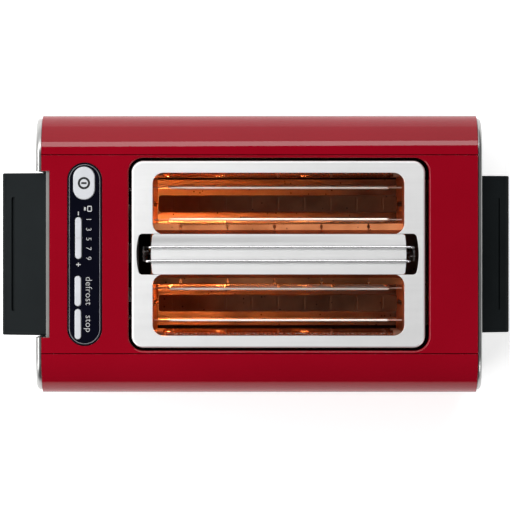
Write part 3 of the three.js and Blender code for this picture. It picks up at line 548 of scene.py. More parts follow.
@dataclass(frozen=True)
class Finish:
    """A surface finish with its own procedural material.

    Attributes:
        name: The material's name.
        slot: The record's material slot that it belongs to; not used.
        low: Colour in the darker patches.
        high: Colour in the lighter patches.
        rough: Roughness from the smoothest to the dullest patch.
        metallic: 1 for bare metal.
        coat: Weight of a clear top coat.
        gloss: Specular level of the surface under any coat.
        patch: Patches per metre.
        grain: Grain bumps per metre, or 0 for none.
        bump: Depth of the grain or the brushing, as the strength of the bump.
        brushed: The axis that brushing lines run along, if it has any.
        dirt: Share of the surface's cells that hold a dark speck.
    """

    name: str
    slot: str
    low: Colour
    high: Colour
    rough: Span
    metallic: float = 0.0
    coat: float = 0.0
    gloss: float = 0.5
    patch: float = 25.0
    grain: float = 0.0
    bump: float = 0.05
    brushed: Optional[Axis] = None
    dirt: float = 0.0

    def material(self) -> bpy.types.Material:
        """The finish's material, built the first time."""
        title = f"{self.name}_finish"
        if title in bpy.data.materials:
            return bpy.data.materials[title]
        material = bpy.data.materials.new(title)
        material.use_nodes = True
        material.node_tree.nodes.clear()
        graph = Graph(material.node_tree)
        self.fill(graph)
        return material

    def fill(self, graph: Graph) -> bpy.types.Node:
        """Builds the node tree and returns its main shader node."""
        place = graph.add("TexCoord").outputs["Object"]
        patches = graph.add("Group", node_tree=mottle())
        graph.tree.links.new(place, patches.inputs["Vector"])
        patches.inputs["Scale"].default_value = self.patch
        mask = patches.outputs["Mask"]
        shader = graph.add("BsdfPrincipled", {"Metallic": self.metallic, "Specular IOR Level": self.gloss})
        height = None
        rough_from = mask
        if self.brushed:
            lines = graph.add("Group", node_tree=brushed_lines(self.brushed))
            graph.tree.links.new(place, lines.inputs["Vector"])
            height = lines.outputs["Height"]
            rough_from = lines.outputs["Line"]
            blend = graph.add("Math", {0: mask, 1: lines.outputs["Line"]}, operation="MULTIPLY")
            mask = blend.outputs[0]
        elif self.grain:
            texture = graph.add("Group", node_tree=fine_grain())
            graph.tree.links.new(place, texture.inputs["Vector"])
            texture.inputs["Scale"].default_value = self.grain
            height = texture.outputs["Height"]
        colour = graph.mix(mask, self.low, self.high)
        roughness = graph.ranged(rough_from, *self.rough)
        if self.dirt:
            crumbs = graph.add("Group", node_tree=specks())
            graph.tree.links.new(place, crumbs.inputs["Vector"])
            crumbs.inputs["Share"].default_value = self.dirt
            dark = graph.add("Mix", {0: crumbs.outputs["Mask"]}, data_type="RGBA")
            graph.tree.links.new(colour, dark.inputs[6])
            dark.inputs[7].default_value = tuple(c * 0.25 for c in self.low) + (1.0,)
            colour = dark.outputs[2]
        graph.tree.links.new(colour, shader.inputs["Base Color"])
        graph.tree.links.new(roughness, shader.inputs["Roughness"])
        if height is not None:
            bump = graph.add("Bump", {"Height": height, "Strength": self.bump, "Distance": 0.0002})
            graph.tree.links.new(bump.outputs[0], shader.inputs["Normal"])
        if self.coat:
            shader.inputs["Coat Weight"].default_value = self.coat
            shader.inputs["Coat Roughness"].default_value = 0.03
        out = graph.add("OutputMaterial")
        graph.tree.links.new(shader.outputs[0], out.inputs["Surface"])
        return shader


@dataclass(frozen=True)
class Glass(Finish):
    """Clear quartz with a faint warm haze."""

    def fill(self, graph: Graph) -> bpy.types.Node:
        """Adds transmission to the plain finish."""
        shader = super().fill(graph)
        shader.inputs["Transmission Weight"].default_value = 1.0
        shader.inputs["IOR"].default_value = 1.46
        return shader


@dataclass(frozen=True)
class Glow(Finish):
    """A surface that gives out light, a little unevenly along its length."""

    strength: float = 10.0

    def fill(self, graph: Graph) -> bpy.types.Node:
        """Adds emission to the plain finish."""
        shader = super().fill(graph)
        place = graph.add("TexCoord").outputs["Object"]
        patches = graph.add("Group", node_tree=mottle())
        graph.tree.links.new(place, patches.inputs["Vector"])
        patches.inputs["Scale"].default_value = self.patch
        colour = graph.mix(patches.outputs["Mask"], self.low, self.high)
        graph.tree.links.new(colour, shader.inputs["Emission Color"])
        shader.inputs["Emission Strength"].default_value = self.strength
        return shader


RED = Finish("red_paint", "red_paint", (0.237, 0.0012, 0.0085), (0.262, 0.0016, 0.0105), (0.40, 0.48),
             coat=0.75, gloss=0.0, patch=9.0, grain=900.0, bump=0.02)
STEEL = Finish("brushed_steel", "brushed_steel", (0.86, 0.86, 0.86), (0.96, 0.96, 0.96), (0.42, 0.54),
               metallic=0.75, brushed=Axis.X, bump=0.06)
# End caps: a darker copy of the plate's brushed steel, painted shade on the caps' upright faces.
CAP_STEEL = Finish("cap_steel", "brushed_steel", (0.36, 0.36, 0.355), (0.50, 0.50, 0.49), (0.26, 0.38),
                   metallic=1.0, brushed=Axis.Y, bump=0.05)
RING = Finish("satin_ring", "chrome", (0.20, 0.20, 0.22), (0.27, 0.27, 0.29), (0.30, 0.40), metallic=0.6,
              grain=1500.0)
CHROME = Finish("chrome", "chrome", (0.86, 0.86, 0.87), (0.94, 0.94, 0.95), (0.05, 0.13), metallic=1.0,
                patch=60.0)
GALVANISED = Finish("plain_steel", "plain_steel", (0.50, 0.50, 0.51), (0.64, 0.64, 0.65), (0.30, 0.45),
                    metallic=1.0, patch=70.0, grain=700.0, bump=0.03, dirt=0.02)
GUARD_WIRE = Finish("guard_wire", "plain_steel", (0.86, 0.78, 0.70), (0.98, 0.92, 0.85), (0.30, 0.42),
                    metallic=0.55, patch=90.0)
# Inner reflectors: the orange-brown colour is painted glow of the heaters on grey steel; the dark specks are
# dirt.
GLOW_TINTED_REFLECTOR = Finish("glow_tinted_reflector", "reflector_steel", (0.36, 0.11, 0.040), (0.54, 0.20, 0.085),
                (0.28, 0.44),
                metallic=1.0, patch=28.0, grain=350.0, bump=0.04, dirt=0.05)
# Outer reflectors: a darker copy of the inner reflectors' painted glow colour, painted shade on the outer
# slot walls; the dark specks are dirt.
SHADED_REFLECTOR = Finish("shaded_reflector", "reflector_steel", (0.10, 0.028, 0.010), (0.18, 0.055, 0.022),
                (0.36, 0.52),
                metallic=1.0, patch=24.0, grain=350.0, bump=0.04, dirt=0.06)
# Chamber end walls: the orange-brown colour is painted glow of the heaters on plain steel; the dark specks
# are dirt.
CHAMBER = Finish("glow_tinted_chamber", "plain_steel", (0.40, 0.14, 0.06), (0.58, 0.24, 0.12), (0.32, 0.50),
                 metallic=1.0, patch=35.0, grain=350.0, bump=0.05, dirt=0.06)
QUARTZ = Glass("quartz", "quartz", (0.80, 0.58, 0.46), (0.88, 0.68, 0.56), (0.02, 0.10))
FILAMENT = Glow("heater_filament", "quartz", (0.50, 0.10, 0.02), (0.60, 0.17, 0.04), (0.5, 0.6), patch=45.0,
                strength=0.12)
CERAMIC = Finish("heater_ceramic", "quartz", (0.20, 0.12, 0.08), (0.30, 0.19, 0.13), (0.6, 0.8),
                 grain=900.0)
BLACK = Finish("black_plastic", "black_plastic", (0.0050, 0.0070, 0.0078), (0.0085, 0.0110, 0.0120),
               (0.46, 0.58), gloss=0.06, patch=18.0, grain=2600.0, bump=0.10)
CHANNEL = Finish("grey_plastic", "grey_plastic", (0.17, 0.17, 0.165), (0.22, 0.22, 0.21), (0.45, 0.55),
                 grain=2400.0, bump=0.08)
GLOSS = Finish("black_gloss", "black_gloss", (0.0012, 0.0014, 0.0050), (0.0022, 0.0024, 0.0075),
               (0.06, 0.12),
               coat=1.0, gloss=0.2, patch=30.0)
BUTTON = Finish("button_grey", "button_grey", (0.52, 0.53, 0.56), (0.58, 0.59, 0.62), (0.34, 0.44),
                patch=60.0,
                grain=3000.0, bump=0.05)
LEGEND = Finish("legend_print", "button_grey", (0.42, 0.42, 0.42), (0.52, 0.52, 0.52), (0.5, 0.6),
                grain=3000.0)
MARK = Finish("button_mark", "black_gloss", (0.004, 0.004, 0.005), (0.006, 0.006, 0.007), (0.4, 0.5),
              grain=3000.0)
# Bread racks: the dark orange-brown colour is painted shade and painted heater glow deep in the slots, on
# plain steel; the dark specks are crumbs.
RACK_STEEL = Finish("rack_steel", "plain_steel", (0.16, 0.07, 0.04), (0.24, 0.11, 0.06), (0.38, 0.52),
                    metallic=1.0,
                    patch=45.0, grain=500.0, bump=0.04, dirt=0.06)
TRAY_STEEL = Finish("tray_steel", "plain_steel", (0.36, 0.26, 0.21), (0.52, 0.40, 0.33), (0.35, 0.5),
                    metallic=1.0,
                    patch=30.0, grain=500.0, bump=0.05, dirt=0.10)
RUBBER = Finish("rubber", "rubber", (0.018, 0.018, 0.018), (0.028, 0.028, 0.028), (0.75, 0.9), grain=1800.0,
                bump=0.15, dirt=0.03)
COPPER = Finish("copper_coil", "copper_coil", (0.60, 0.24, 0.11), (0.78, 0.36, 0.18), (0.25, 0.35),
                metallic=1.0,
                grain=1200.0, bump=0.2)
BOARD = Finish("circuit_board", "circuit_board", (0.02, 0.12, 0.05), (0.03, 0.17, 0.07), (0.35, 0.5),
               grain=1500.0)
GUIDE = Finish("light_guide", "light_guide", (0.78, 0.80, 0.84), (0.88, 0.90, 0.93), (0.3, 0.4),
               grain=1500.0)


class Shop:
    """Turns solids into finished pieces on the frame and keeps count of them."""

    made: list[str] = []

    @classmethod
    def finish(cls, name: str, solid: Solid, finish: Finish, body: str, replaces: Sequence[str] = (),
               smooth: float = SHARP) -> bpy.types.Object:
        """Makes a piece of a solid.

        Args:
            name: The piece's name.
            solid: Its shape, which is used up.
            finish: Its finish.
            body: The body that it rides on.
            replaces: Frame nodes that it stands for.
            smooth: Edges flatter than this are shaded as one surface.

        Returns:
            The new object.
        """
        bm = solid.bm
        bmesh.ops.scale(bm, vec=(MM,) * 3, verts=bm.verts)
        for edge in bm.edges:
            edge.smooth = len(edge.link_faces) == 2 and edge.calc_face_angle(0.0) < smooth
        for face in bm.faces:
            face.smooth = True
        mesh = bpy.data.meshes.new(name)
        bm.to_mesh(mesh)
        bm.free()
        piece = bpy.data.objects.new(name, mesh)
        bpy.context.scene.collection.objects.link(piece)
        mesh.materials.append(finish.material())
        normals = piece.modifiers.new("even_normals", "WEIGHTED_NORMAL")
        normals.keep_sharp = True
        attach(piece, body)
        if replaces:
            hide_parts(*replaces)
        cls.made.append(name)
        LOG.info("%s: %d faces on %s", name, len(mesh.polygons), body)
        return piece

    @staticmethod
    def dress(node: str, finish: Finish) -> None:
        """Gives a frame node that stays in view a finished material."""
        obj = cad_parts[node]
        for slot in obj.material_slots:
            slot.link = "OBJECT"
            slot.material = finish.material()


# ------------------------------------------------------------------------------------ casing
@dataclass
class Casing:
    """The painted shells and deck, the steel end caps, the slot plate and the centre bar.

    Attributes:
        shoulder: Radius of the two long top edges.
        tuck: Radius under the shells' lower edges.
        wall: Thickness of the shells.
        seam: Open joint between the deck and each shell.
        rim: Rolled edge round the deck's opening.
        plate_roll: Rolled outer edge of the slot plate.
        slot_roll: Rolled edge round each slot.
        sheet: Thickness of the steel sheet.
        slot: Half-opening of a slot along Y, from the inner to the outer side.
        slot_corner: Corner radius of a slot.
        dome: Rounding of the end caps' outer edges.
        cap_corner: Radius of the end caps' upper corners.
        cap_foot: Radius of their lower corners.
    """

    shoulder: float = 31.85
    tuck: float = 7.0
    wall: float = 1.5
    seam: float = 0.35
    rim: float = 1.5
    plate_roll: float = 1.5
    slot_roll: float = 1.1
    sheet: float = 1.2
    slot: Span = (16.1, 65.3)
    slot_corner: float = 8.8
    dome: float = 3.0
    cap_corner: float = 29.65
    cap_foot: float = 6.0

    def build(self) -> None:
        """Builds every piece of the casing."""
        for node, side in (("front_shell", -1), ("rear_shell", 1)):
            Shop.finish(f"{node}_paint", self.shell(node, side), RED, Body.BODY.value, [node])
        Shop.finish("deck_paint", self.deck(), RED, Body.BODY.value, ["top_deck"])
        for end in ("lever_end", "cord_end"):
            Shop.finish(f"{end}_steel", self.cap(f"{end}_cap"), CAP_STEEL, Body.BODY.value, [f"{end}_cap"])
        Shop.finish("slot_plate_steel", self.plate(), STEEL, Body.BODY.value, ["slot_plate"])
        Shop.finish("centre_bar_steel", self.bar(), STEEL, Body.BODY.value, ["centre_bar"])

    def shell(self, node: str, side: int) -> Solid:
        """One long side shell, with its rounded shoulder and tucked lower edge."""
        x, y, z = spans(node)
        half = max(abs(y[0]), abs(y[1]))
        seam = min(abs(y[0]), abs(y[1]))

        def form(inset: float, ends: float) -> Solid:
            block = Solid.block(
                (x[0] - ends, x[1] + ends), (-half + inset, half - inset), (z[0] - ends, z[1] - inset))
            top = z[1] - inset
            block.bevel(
                self.shoulder - inset, 28, lambda e: _runs_along(e, Axis.X) and _middle(e).z > top - 0.1)
            low = z[0] - ends
            return block.bevel(
                self.tuck, 6, lambda e: _runs_along(e, Axis.X) and _middle(e).z < low + 0.1)

        far = 400.0
        keep = (-far, seam) if side > 0 else (-seam, far)
        shell = form(0.0, 0.0).cut(form(self.wall, 2.0), Solid.block((-far, far), keep, (-far, far)))
        return shell.bevel(0.5, 3)

    def deck(self) -> Solid:
        """The deck with its opening, the lever's notch and the panel's seat."""
        x, y, z = spans("top_deck")
        plate = spans("slot_plate")
        channel = spans("lift_lever")
        panel = spans("control_panel")
        gap, far = 2.4, 3.2
        opening = ((plate[0][0] - gap, plate[0][1] + far), (plate[1][0] - gap, plate[1][1] + gap))
        corner = 9.5 + gap
        lip = 2.4
        across = (y[0] + self.seam, y[1] - self.seam)
        deck = Solid.block(x, across, (z[1] - 1.6, z[1]))
        deck.join(Solid.block(
            (opening[0][0] - lip, opening[0][1] + lip), (across[0] + 0.06, across[1] - 0.06),
            (z[0], z[1] - 0.8), corner + lip, 16))
        deck.cut(
            Solid.block(*opening, (z[0] - 5, z[1] + 5), corner, 16),
            Solid.block((x[0] - 5, x[0] + 6.6), (channel[1][0] - 1.4, channel[1][1] + 1.4), (z[0], z[1] + 5)),
            Solid.stadium(((panel[0][0] + panel[0][1]) / 2, 0.0), panel[0][1] - panel[0][0] + 0.6,
                          panel[1][1] - panel[1][0] + 0.6, (z[0] - 5, z[1] + 5)))
        inside = lambda e: (opening[0][0] - 0.1 < _middle(e).x < opening[0][1] + 0.1
                            and abs(_middle(e).y) < opening[1][1] + 0.1)
        top = at_height(z[1])
        deck.bevel(self.rim, 6, lambda e: top(e) and inside(e))
        return deck.bevel(0.5, 3, lambda e: top(e) and not inside(e))

    def cap(self, node: str) -> Solid:
        """A pressed steel end cap with a domed edge, cut as its frame node is."""
        x, y, z = spans(node)
        outer = x[0] if node == "lever_end_cap" else x[1]
        way = 1 if node == "lever_end_cap" else -1
        inset = self.sheet

        def form(less: float, shift: float) -> Solid:
            reach = (outer + way * shift, outer + way * (abs(x[1] - x[0]) + 12.0))
            high, low = z[1] - less, z[0] + less
            block = Solid.block((min(reach), max(reach)), (y[0] + less, y[1] - less), (low, high))
            block.bevel(
                self.cap_corner - less, 24, lambda e: _runs_along(e, Axis.X) and _middle(e).z > high - 0.1)
            block.bevel(self.cap_foot, 5, lambda e: _runs_along(e, Axis.X) and _middle(e).z < low + 0.1)
            front = lambda e: all(abs(v.co.x - (outer + way * shift)) < 0.01 for v in e.verts)
            return block.bevel(self.dome, 6, front)

        cap = form(0.0, 0.0).cut(form(inset, inset))
        back = (outer + way * abs(x[1] - x[0]), outer + way * 40.0)
        cap.cut(Solid.block((min(back), max(back)), (-200, 200), (-20, 400)))
        if node == "lever_end_cap":
            lever = spans("lift_lever")
            cap.cut(Solid.block((-300, -150), (lever[1][0] - 1.4, lever[1][1] + 1.4), (99.0, 400)))
        else:
            gland = spans("cord_gland")
            tray = spans("crumb_tray")
            cap.cut(Solid.block((150, 300), (tray[1][0] - 2, tray[1][1] + 2), (0, tray[2][1] + 1.0)))
            middle = (0.0, (gland[1][0] + gland[1][1]) / 2, (gland[2][0] + gland[2][1]) / 2)
            cap.cut(Solid.bar((150.0, *middle[1:]), (300.0, *middle[1:]), 6.8, 32))
        return cap.bevel(0.3, 2, angle=math.radians(50))

    def slot_hole(self, side: int, grow: float, z: Span) -> Solid:
        """The volume of one bread slot, or of its rim."""
        reach = self.reach()
        y = sorted((side * (self.slot[0] - grow), side * (self.slot[1] + grow)))
        return Solid.block((reach[0] - grow, reach[1] + grow), (y[0], y[1]), z, self.slot_corner + grow, 12)

    def reach(self) -> Span:
        """The slots' extent along X, which the centre bar's ends stand a little outside."""
        bar = spans("centre_bar")[0]
        return (bar[0] + 1.2, bar[1] - 1.4)

    def plate(self) -> Solid:
        """The steel plate with its turned-down edges, slots and the bed of the centre bar."""
        x, y, z = spans("slot_plate")
        under = z[1] - self.sheet
        reach = self.reach()
        band = ((reach[0] - 12.9, reach[1] + 11.5), self.slot[0] + 0.3, 2.3)
        plate = Solid.block(x, y, z, 9.5, 14)
        grow = self.sheet
        inner = Solid.block(
            (x[0] + grow, x[1] - grow), (y[0] + grow, y[1] - grow), (z[0] - 5, under), 8.3, 14)
        plate.cut(inner)
        for side in (-1, 1):
            plate.join(self.slot_hole(side, grow, (z[0], under + 0.4)))
        plate.join(Solid.bowed(
            (band[0][0] - grow, band[0][1] + grow), band[1] + grow, band[2], (z[0], under + 0.4), 3.0))
        for side in (-1, 1):
            plate.cut(self.slot_hole(side, 0.0, (z[0] - 9, z[1] + 9)))
        plate.cut(Solid.bowed(*band, (z[0] - 9, z[1] + 9), 2.4))
        top = at_height(z[1])
        outer = lambda e: (_middle(e).x < x[0] + 3 or _middle(e).x > x[1] - 3 or abs(_middle(e).y) > y[1] - 3
                           or (abs(_middle(e).y) > y[1] - 9.6
                               and not x[0] + 9.6 < _middle(e).x < x[1] - 9.6))
        plate.bevel(self.plate_roll, 5, lambda e: top(e) and outer(e))
        return plate.bevel(self.slot_roll, 4, lambda e: top(e) and not outer(e))

    def bar(self) -> Solid:
        """The centre bar, with a shallow bed for each rod of the bun rack."""
        x, y, z = spans("centre_bar")
        bar = Solid.bowed(x, y[1], 1.15, z, 2.0)
        for node, side in (("bun_bail_front", -1), ("bun_bail_rear", 1)):
            rod = spans(node)
            centre = side * (max(abs(rod[1][0]), abs(rod[1][1])) - 0.9)
            bed = Solid.block(
                (x[0] - 5, x[1] + 5), (centre - 2.6, centre + 1.7), (z[1] - 0.7, z[1] + 5))
            bar.cut(bed)
        sheet = self.sheet
        bar.cut(Solid.bowed((x[0] + sheet, x[1] - sheet), y[1] - sheet, 1.15, (z[0] - 5, z[1] - 1.6), 1.0))
        top = at_height(z[1])
        bar.bevel(1.1, 4, lambda e: top(e) and abs(abs(_middle(e).y) - y[1]) < 2.5)
        return bar.bevel(0.45, 3, lambda e: top(e) and abs(_middle(e).y) < y[1] - 2.5)


# ------------------------------------------------------------------------------------ grips
@dataclass
class Grips:
    """The lift lever, the fixed handle at the cord end and the channel that the lever runs in.

    Attributes:
        edge: Rounding of the grips' edges.
        groove: Width and depth of the groove in each grip's top.
    """

    edge: float = 1.2
    groove: Span = (3.4, 2.2)

    def build(self) -> None:
        """Builds the two grips and dresses the channel."""
        lever = self.grip("lift_lever", -1, 23.0, 46.0, 0.25)
        Shop.finish("lever_grip", lever, BLACK, Body.LIFT.value, ["lift_lever"])
        handle = self.grip("side_handle", 1, 22.0, 45.0, 0.36, 1.2)
        Shop.finish("handle_grip", handle, BLACK, Body.BODY.value, ["side_handle"])
        channel = refined("lever_channel", 0.35)
        Shop.finish("lever_slide_channel", channel, CHANNEL, Body.BODY.value, ["lever_channel"])

    def grip(self, node: str, side: int, outer_drop: float, groove_half: float, place: float,
             width: Optional[float] = None) -> Solid:
        """A sloping bar grip with a groove along its top.

        Args:
            node: The frame node that it stands for.
            side: -1 at the lever end and 1 at the cord end.
            outer_drop: Height lost from the deck's top to the grip's outer edge.
            groove_half: Half the groove's length.
            place: Where the groove lies, from the outer edge as a share of the reach.
            width: The groove's width, where it is not the usual one.

        Returns:
            The new solid.
        """
        x, y, z = spans(node)
        inner = x[1] if side < 0 else x[0]
        outer = x[0] if side < 0 else x[1]
        reach = abs(outer - inner)
        outer_top = spans("top_deck")[2][1] - outer_drop
        at = lambda d: inner + side * d
        outline = [
            (at(0), z[1]), (at(reach - 2.5), outer_top + 1.2), (at(reach), outer_top - 1.5),
            (at(reach), outer_top - 9), (at(reach - 3), outer_top - 11.5), (at(reach * 0.5), outer_top - 13),
            (at(0), outer_top - 24)]
        grip = Solid.prism(outline, y)
        grip.bevel(self.edge, 4, lambda e: not all(abs(v.co.x - inner) < 0.01 for v in e.verts))
        wide = width or self.groove[0]
        centre = outer - side * reach * place
        slope = (outer_top + 1.2 - z[1]) / (reach - 2.5)
        top = z[1] + slope * abs(centre - inner)
        tool = Solid.block(
            (-wide / 2, wide / 2), (-groove_half, groove_half), (-self.groove[1], 6), wide / 2 - 0.02, 8)
        turn = Matrix.Rotation(math.atan(-slope * side), 4, "Y")
        bmesh.ops.transform(tool.bm, matrix=Matrix.Translation((centre, 0, top)) @ turn, verts=tool.bm.verts)
        grip.cut(tool)
        return grip.bevel(
            0.25, 2, lambda e: abs(_middle(e).x - centre) < wide and abs(_middle(e).y) < groove_half + 1)


def refined(node: str, width: float, segments: int = 2, angle: float = math.radians(40)) -> Solid:
    """A frame node's shape with its sharp edges softened.

    Args:
        node: The node's name.
        width: Radius of the softened edges.
        segments: Steps across them.
        angle: Edges flatter than this are left.

    Returns:
        The new solid.
    """
    return Solid.copied(node).bevel(width, segments, angle=angle)


# ------------------------------------------------------------------------------------ control panel
@dataclass
class Panel:
    """The gloss panel with its ring, buttons, print, board and light guide.

    Attributes:
        legend_size: Height of the words' type.
        digit_size: Height of the digits' type.
        print_height: How far the print stands proud of the panel.
        dome: Rounding of the buttons' tops.
    """

    legend_size: float = 7.4
    digit_size: float = 6.0
    print_height: float = 0.05
    dome: float = 0.9

    def build(self) -> None:
        """Builds the panel's pieces."""
        Shop.finish("panel_gloss", self.plate(), GLOSS, Body.BODY.value, ["control_panel"])
        Shop.finish("panel_ring_chrome", refined("panel_ring", 0.15), RING, Body.BODY.value, ["panel_ring"])
        for name in ("power_button", "defrost_button", "stop_button"):
            Shop.finish(f"{name}_cap", self.button(name), BUTTON, name, [name])
        Shop.finish("browning_rocker_cap", self.rocker(), BUTTON, "browning_rocker", ["browning_rocker"])
        Shop.finish("power_mark", self.power_mark(), MARK, "power_button")
        Shop.finish("rocker_mark", self.rocker_mark(), LEGEND, "browning_rocker")
        Shop.finish("panel_legend", self.legend(), LEGEND, Body.BODY.value)
        Shop.finish("circuit_board", refined("control_board", 0.2), BOARD, Body.BODY.value, ["control_board"])
        Shop.finish("light_guide_bar", refined("light_guide", 0.4), GUIDE, Body.BODY.value, ["light_guide"])

    def plate(self) -> Solid:
        """The panel's plate with a groove for the ring and holes for the buttons."""
        x, y, z = spans("control_panel")
        centre = (x[0] + x[1]) / 2
        width, length = x[1] - x[0], y[1] - y[0]
        plate = Solid.stadium((centre, 0.0), width, length, (z[1] - 3.1, z[1]))
        groove = Solid.stadium((centre, 0.0), width - 1.8, length - 1.8, (z[1] - 0.8, z[1] + 1))
        groove.cut(Solid.stadium((centre, 0.0), width - 4.2, length - 4.2, (z[1] - 2, z[1] + 2)))
        plate.cut(groove)
        holes = (("power_button", 17.4, 26.4, 0.3), ("browning_rocker", 5.2, 33.4, 0.7),
                 ("defrost_button", 5.2, 24.2, 0.3), ("stop_button", 5.2, 24.2, 0.3))
        for name, wide, long, gap in holes:
            at = self.centre(name)
            plate.cut(Solid.stadium(at, wide + 2 * gap, long + 2 * gap, (z[0], z[1] + 5)))
        return plate.bevel(0.3, 3, at_height(z[1]))

    @staticmethod
    def centre(name: str) -> tuple[float, float]:
        """The middle of a node in plan."""
        x, y, _ = spans(name)
        return ((x[0] + x[1]) / 2, (y[0] + y[1]) / 2)

    def button(self, name: str) -> Solid:
        """A push button with a rounded top and the flange that holds it under the panel."""
        x, y, z = spans(name)
        wide, long = x[1] - x[0] - 1.6, y[1] - y[0] - 1.6
        at = self.centre(name)
        cap = Solid.stadium(at, wide, long, z).bevel(self.dome, 5, at_height(z[1]))
        return cap.beside(Solid.stadium(at, wide + 1.6, long + 1.6, (z[0], z[0] + 1.4)))

    def rocker(self) -> Solid:
        """The browning rocker with a rounded top and its pin."""
        x, y, z = spans("browning_rocker")
        at = self.centre("browning_rocker")
        half = (y[1] - y[0]) / 2
        cap = Solid.stadium(at, 5.2, 2 * half, (z[0] + 1.4, z[1])).bevel(self.dome, 5, at_height(z[1]))
        middle = z[0] + 1.6
        return cap.beside(Solid.bar((x[0], at[1], middle), (x[1], at[1], middle), 0.9))

    def power_mark(self) -> Solid:
        """A ring with a bar in it on the power button."""
        at = self.centre("power_button")
        top = spans("power_button")[2][1]
        low, high = top - 0.2, top + 0.1
        outer, inner = 4.9, 3.2
        ring = Solid.turned(
            [(inner, low), (outer, low), (outer, high), (inner, high)], (at[0], at[1], 0.0), Axis.Z, 48)
        return ring.beside(Solid.block(
            (at[0] - 2.2, at[0] + 2.2), (at[1] - 0.75, at[1] + 0.75), (low, high), 0.4, 4))

    def rocker_mark(self) -> Solid:
        """Two fine lines across the middle of the rocker."""
        at = self.centre("browning_rocker")
        top = spans("browning_rocker")[2][1]
        lines = Solid()
        for y in (-0.45, 0.45):
            lines.beside(Solid.block(
                (at[0] - 1.7, at[0] + 1.7), (at[1] + y - 0.12, at[1] + y + 0.12),
                (top - 0.2, top + self.print_height), 0.1, 2))
        return lines

    def legend(self) -> Solid:
        """The printed words, the browning numbers, the two signs and the bread symbol."""
        x, _, z = spans("control_panel")
        deck = z[1]
        turn = -math.pi / 2
        column = x[1] - 10.6
        marks = Solid()
        for digit, y in zip("13579", (27.9, 19.9, 12.2, 4.6, -3.2)):
            marks.beside(lettering(digit, self.digit_size, (column, y, deck), turn, self.print_height))
        for word, y in (("defrost", -29.3), ("stop", -55.6)):
            marks.beside(lettering(word, self.legend_size, (column, y, deck), turn, self.print_height, 1.06))
        sign = self.centre("browning_rocker")[0]
        high = deck + self.print_height
        for y in (32.7, -8.3):
            marks.beside(Solid.block(
                (sign - 0.4, sign + 0.4), (y - 1.5, y + 1.5), (deck - 0.1, high), 0.2, 3))
        marks.beside(Solid.block(
            (sign - 1.8, sign + 1.8), (-8.7, -7.9), (deck - 0.1, high + 0.01), 0.2, 3))
        marks.beside(self.bread_symbol((column + 0.8, 36.4), (deck - 0.1, high)))
        return marks

    @staticmethod
    def bread_symbol(at: tuple[float, float], z: Span) -> Solid:
        """A slice of bread in outline over a small heat bar."""
        slice_ = Solid.block((at[0] - 1.9, at[0] + 1.9), (at[1] - 2.4, at[1] + 2.4), z, 1.0, 5)
        slice_.cut(Solid.block(
            (at[0] - 1.2, at[0] + 1.2), (at[1] - 1.6, at[1] + 1.6), (z[0] - 1, z[1] + 1), 0.5, 4))
        return slice_.beside(Solid.block((at[0] - 4.4, at[0] - 3.0), (at[1] - 1.3, at[1] + 1.3), z, 0.3, 3))


# ------------------------------------------------------------------------------------ moving ironwork
@dataclass
class BreadLift:
    """The carriage, the bread racks, their rods, the spring and the latch.

    Attributes:
        soft: Rounding of the pressed parts' edges.
        rests: How many shallow creases stiffen each rack.
    """

    soft: float = 0.25
    rests: int = 9

    def build(self) -> None:
        """Builds the lift's pieces."""
        lifted = (("lift_carriage", "carriage", self.soft), ("latch_keeper", "keeper_plate", 0.3))
        for name, node, soft in lifted:
            Shop.finish(name, refined(node, soft), GALVANISED, Body.LIFT.value, [node])
        for place in ("front", "rear"):
            Shop.finish(f"bread_rack_{place}_steel", self.rack(f"bread_rack_{place}"), RACK_STEEL,
                        Body.LIFT.value, [f"bread_rack_{place}"])
            Shop.finish(f"guide_rod_{place}_ground", self.rod(f"guide_rod_{place}"), CHROME, Body.BODY.value,
                        [f"guide_rod_{place}"])
        Shop.dress("lift_spring", CHROME)
        Shop.finish("latch_core", self.core(), GALVANISED, Body.BODY.value, ["latch_magnet"])
        Shop.finish("latch_winding", self.winding(), COPPER, Body.BODY.value)

    def rack(self, node: str) -> Solid:
        """A rack with a row of shallow creases in its deck and a folded web."""
        x, y, z = spans(node)
        middle = (y[0] + y[1]) / 2
        web = Solid.block(x, (middle - 0.4, middle + 0.4), (z[0], z[1] - 0.4))
        deck = Solid.block((x[0] + 16.1, x[1] - 8.1), y, (z[1] - 0.8, z[1]), 2.5, 6)
        first, last = x[0] + 28.0, x[1] - 20.0
        for i in range(self.rests):
            at = first + (last - first) * i / (self.rests - 1)
            deck.cut(Solid.block(
                (at - 0.8, at + 0.8), (middle - 5.2, middle + 5.2), (z[1] - 0.35, z[1] + 3), 0.7, 4))
        return deck.bevel(0.2, 2, angle=math.radians(60)).beside(web.bevel(0.2, 2))

    def rod(self, node: str) -> Solid:
        """A ground guide rod with chamfered ends."""
        x, y, z = spans(node)
        centre = ((x[0] + x[1]) / 2, (y[0] + y[1]) / 2)
        return Solid.bar((*centre, z[0]), (*centre, z[1]), 2.5, 32).bevel(0.4, 2)

    def core(self) -> Solid:
        """The latch magnet's foot and pole."""
        x, y, z = spans("latch_magnet")
        at = (x[0] + x[1]) / 2
        foot = Solid.block(x, y, (z[0], z[0] + 5), 1.5, 4).bevel(0.3, 2, angle=math.radians(60))
        pole = Solid.block((at - 6, at + 6), (-6, 6), (z[0] + 4, z[1]), 1.0, 4)
        pole.bevel(0.3, 2, angle=math.radians(60))
        return foot.beside(pole)

    def winding(self) -> Solid:
        """The magnet's winding, turn upon turn."""
        x, _, z = spans("latch_magnet")
        at = (x[0] + x[1]) / 2
        low, high = z[0] + 5.4, z[1] - 6.4
        turns = 20
        pitch = (high - low) / turns
        profile = [(6.4, low)]
        for i in range(turns):
            profile += [(8.5, low + i * pitch), (8.9, low + (i + 0.5) * pitch)]
        profile += [(8.5, high), (6.4, high)]
        return Solid.turned(profile, (at, 0.0, 0.0), Axis.Z, 36)


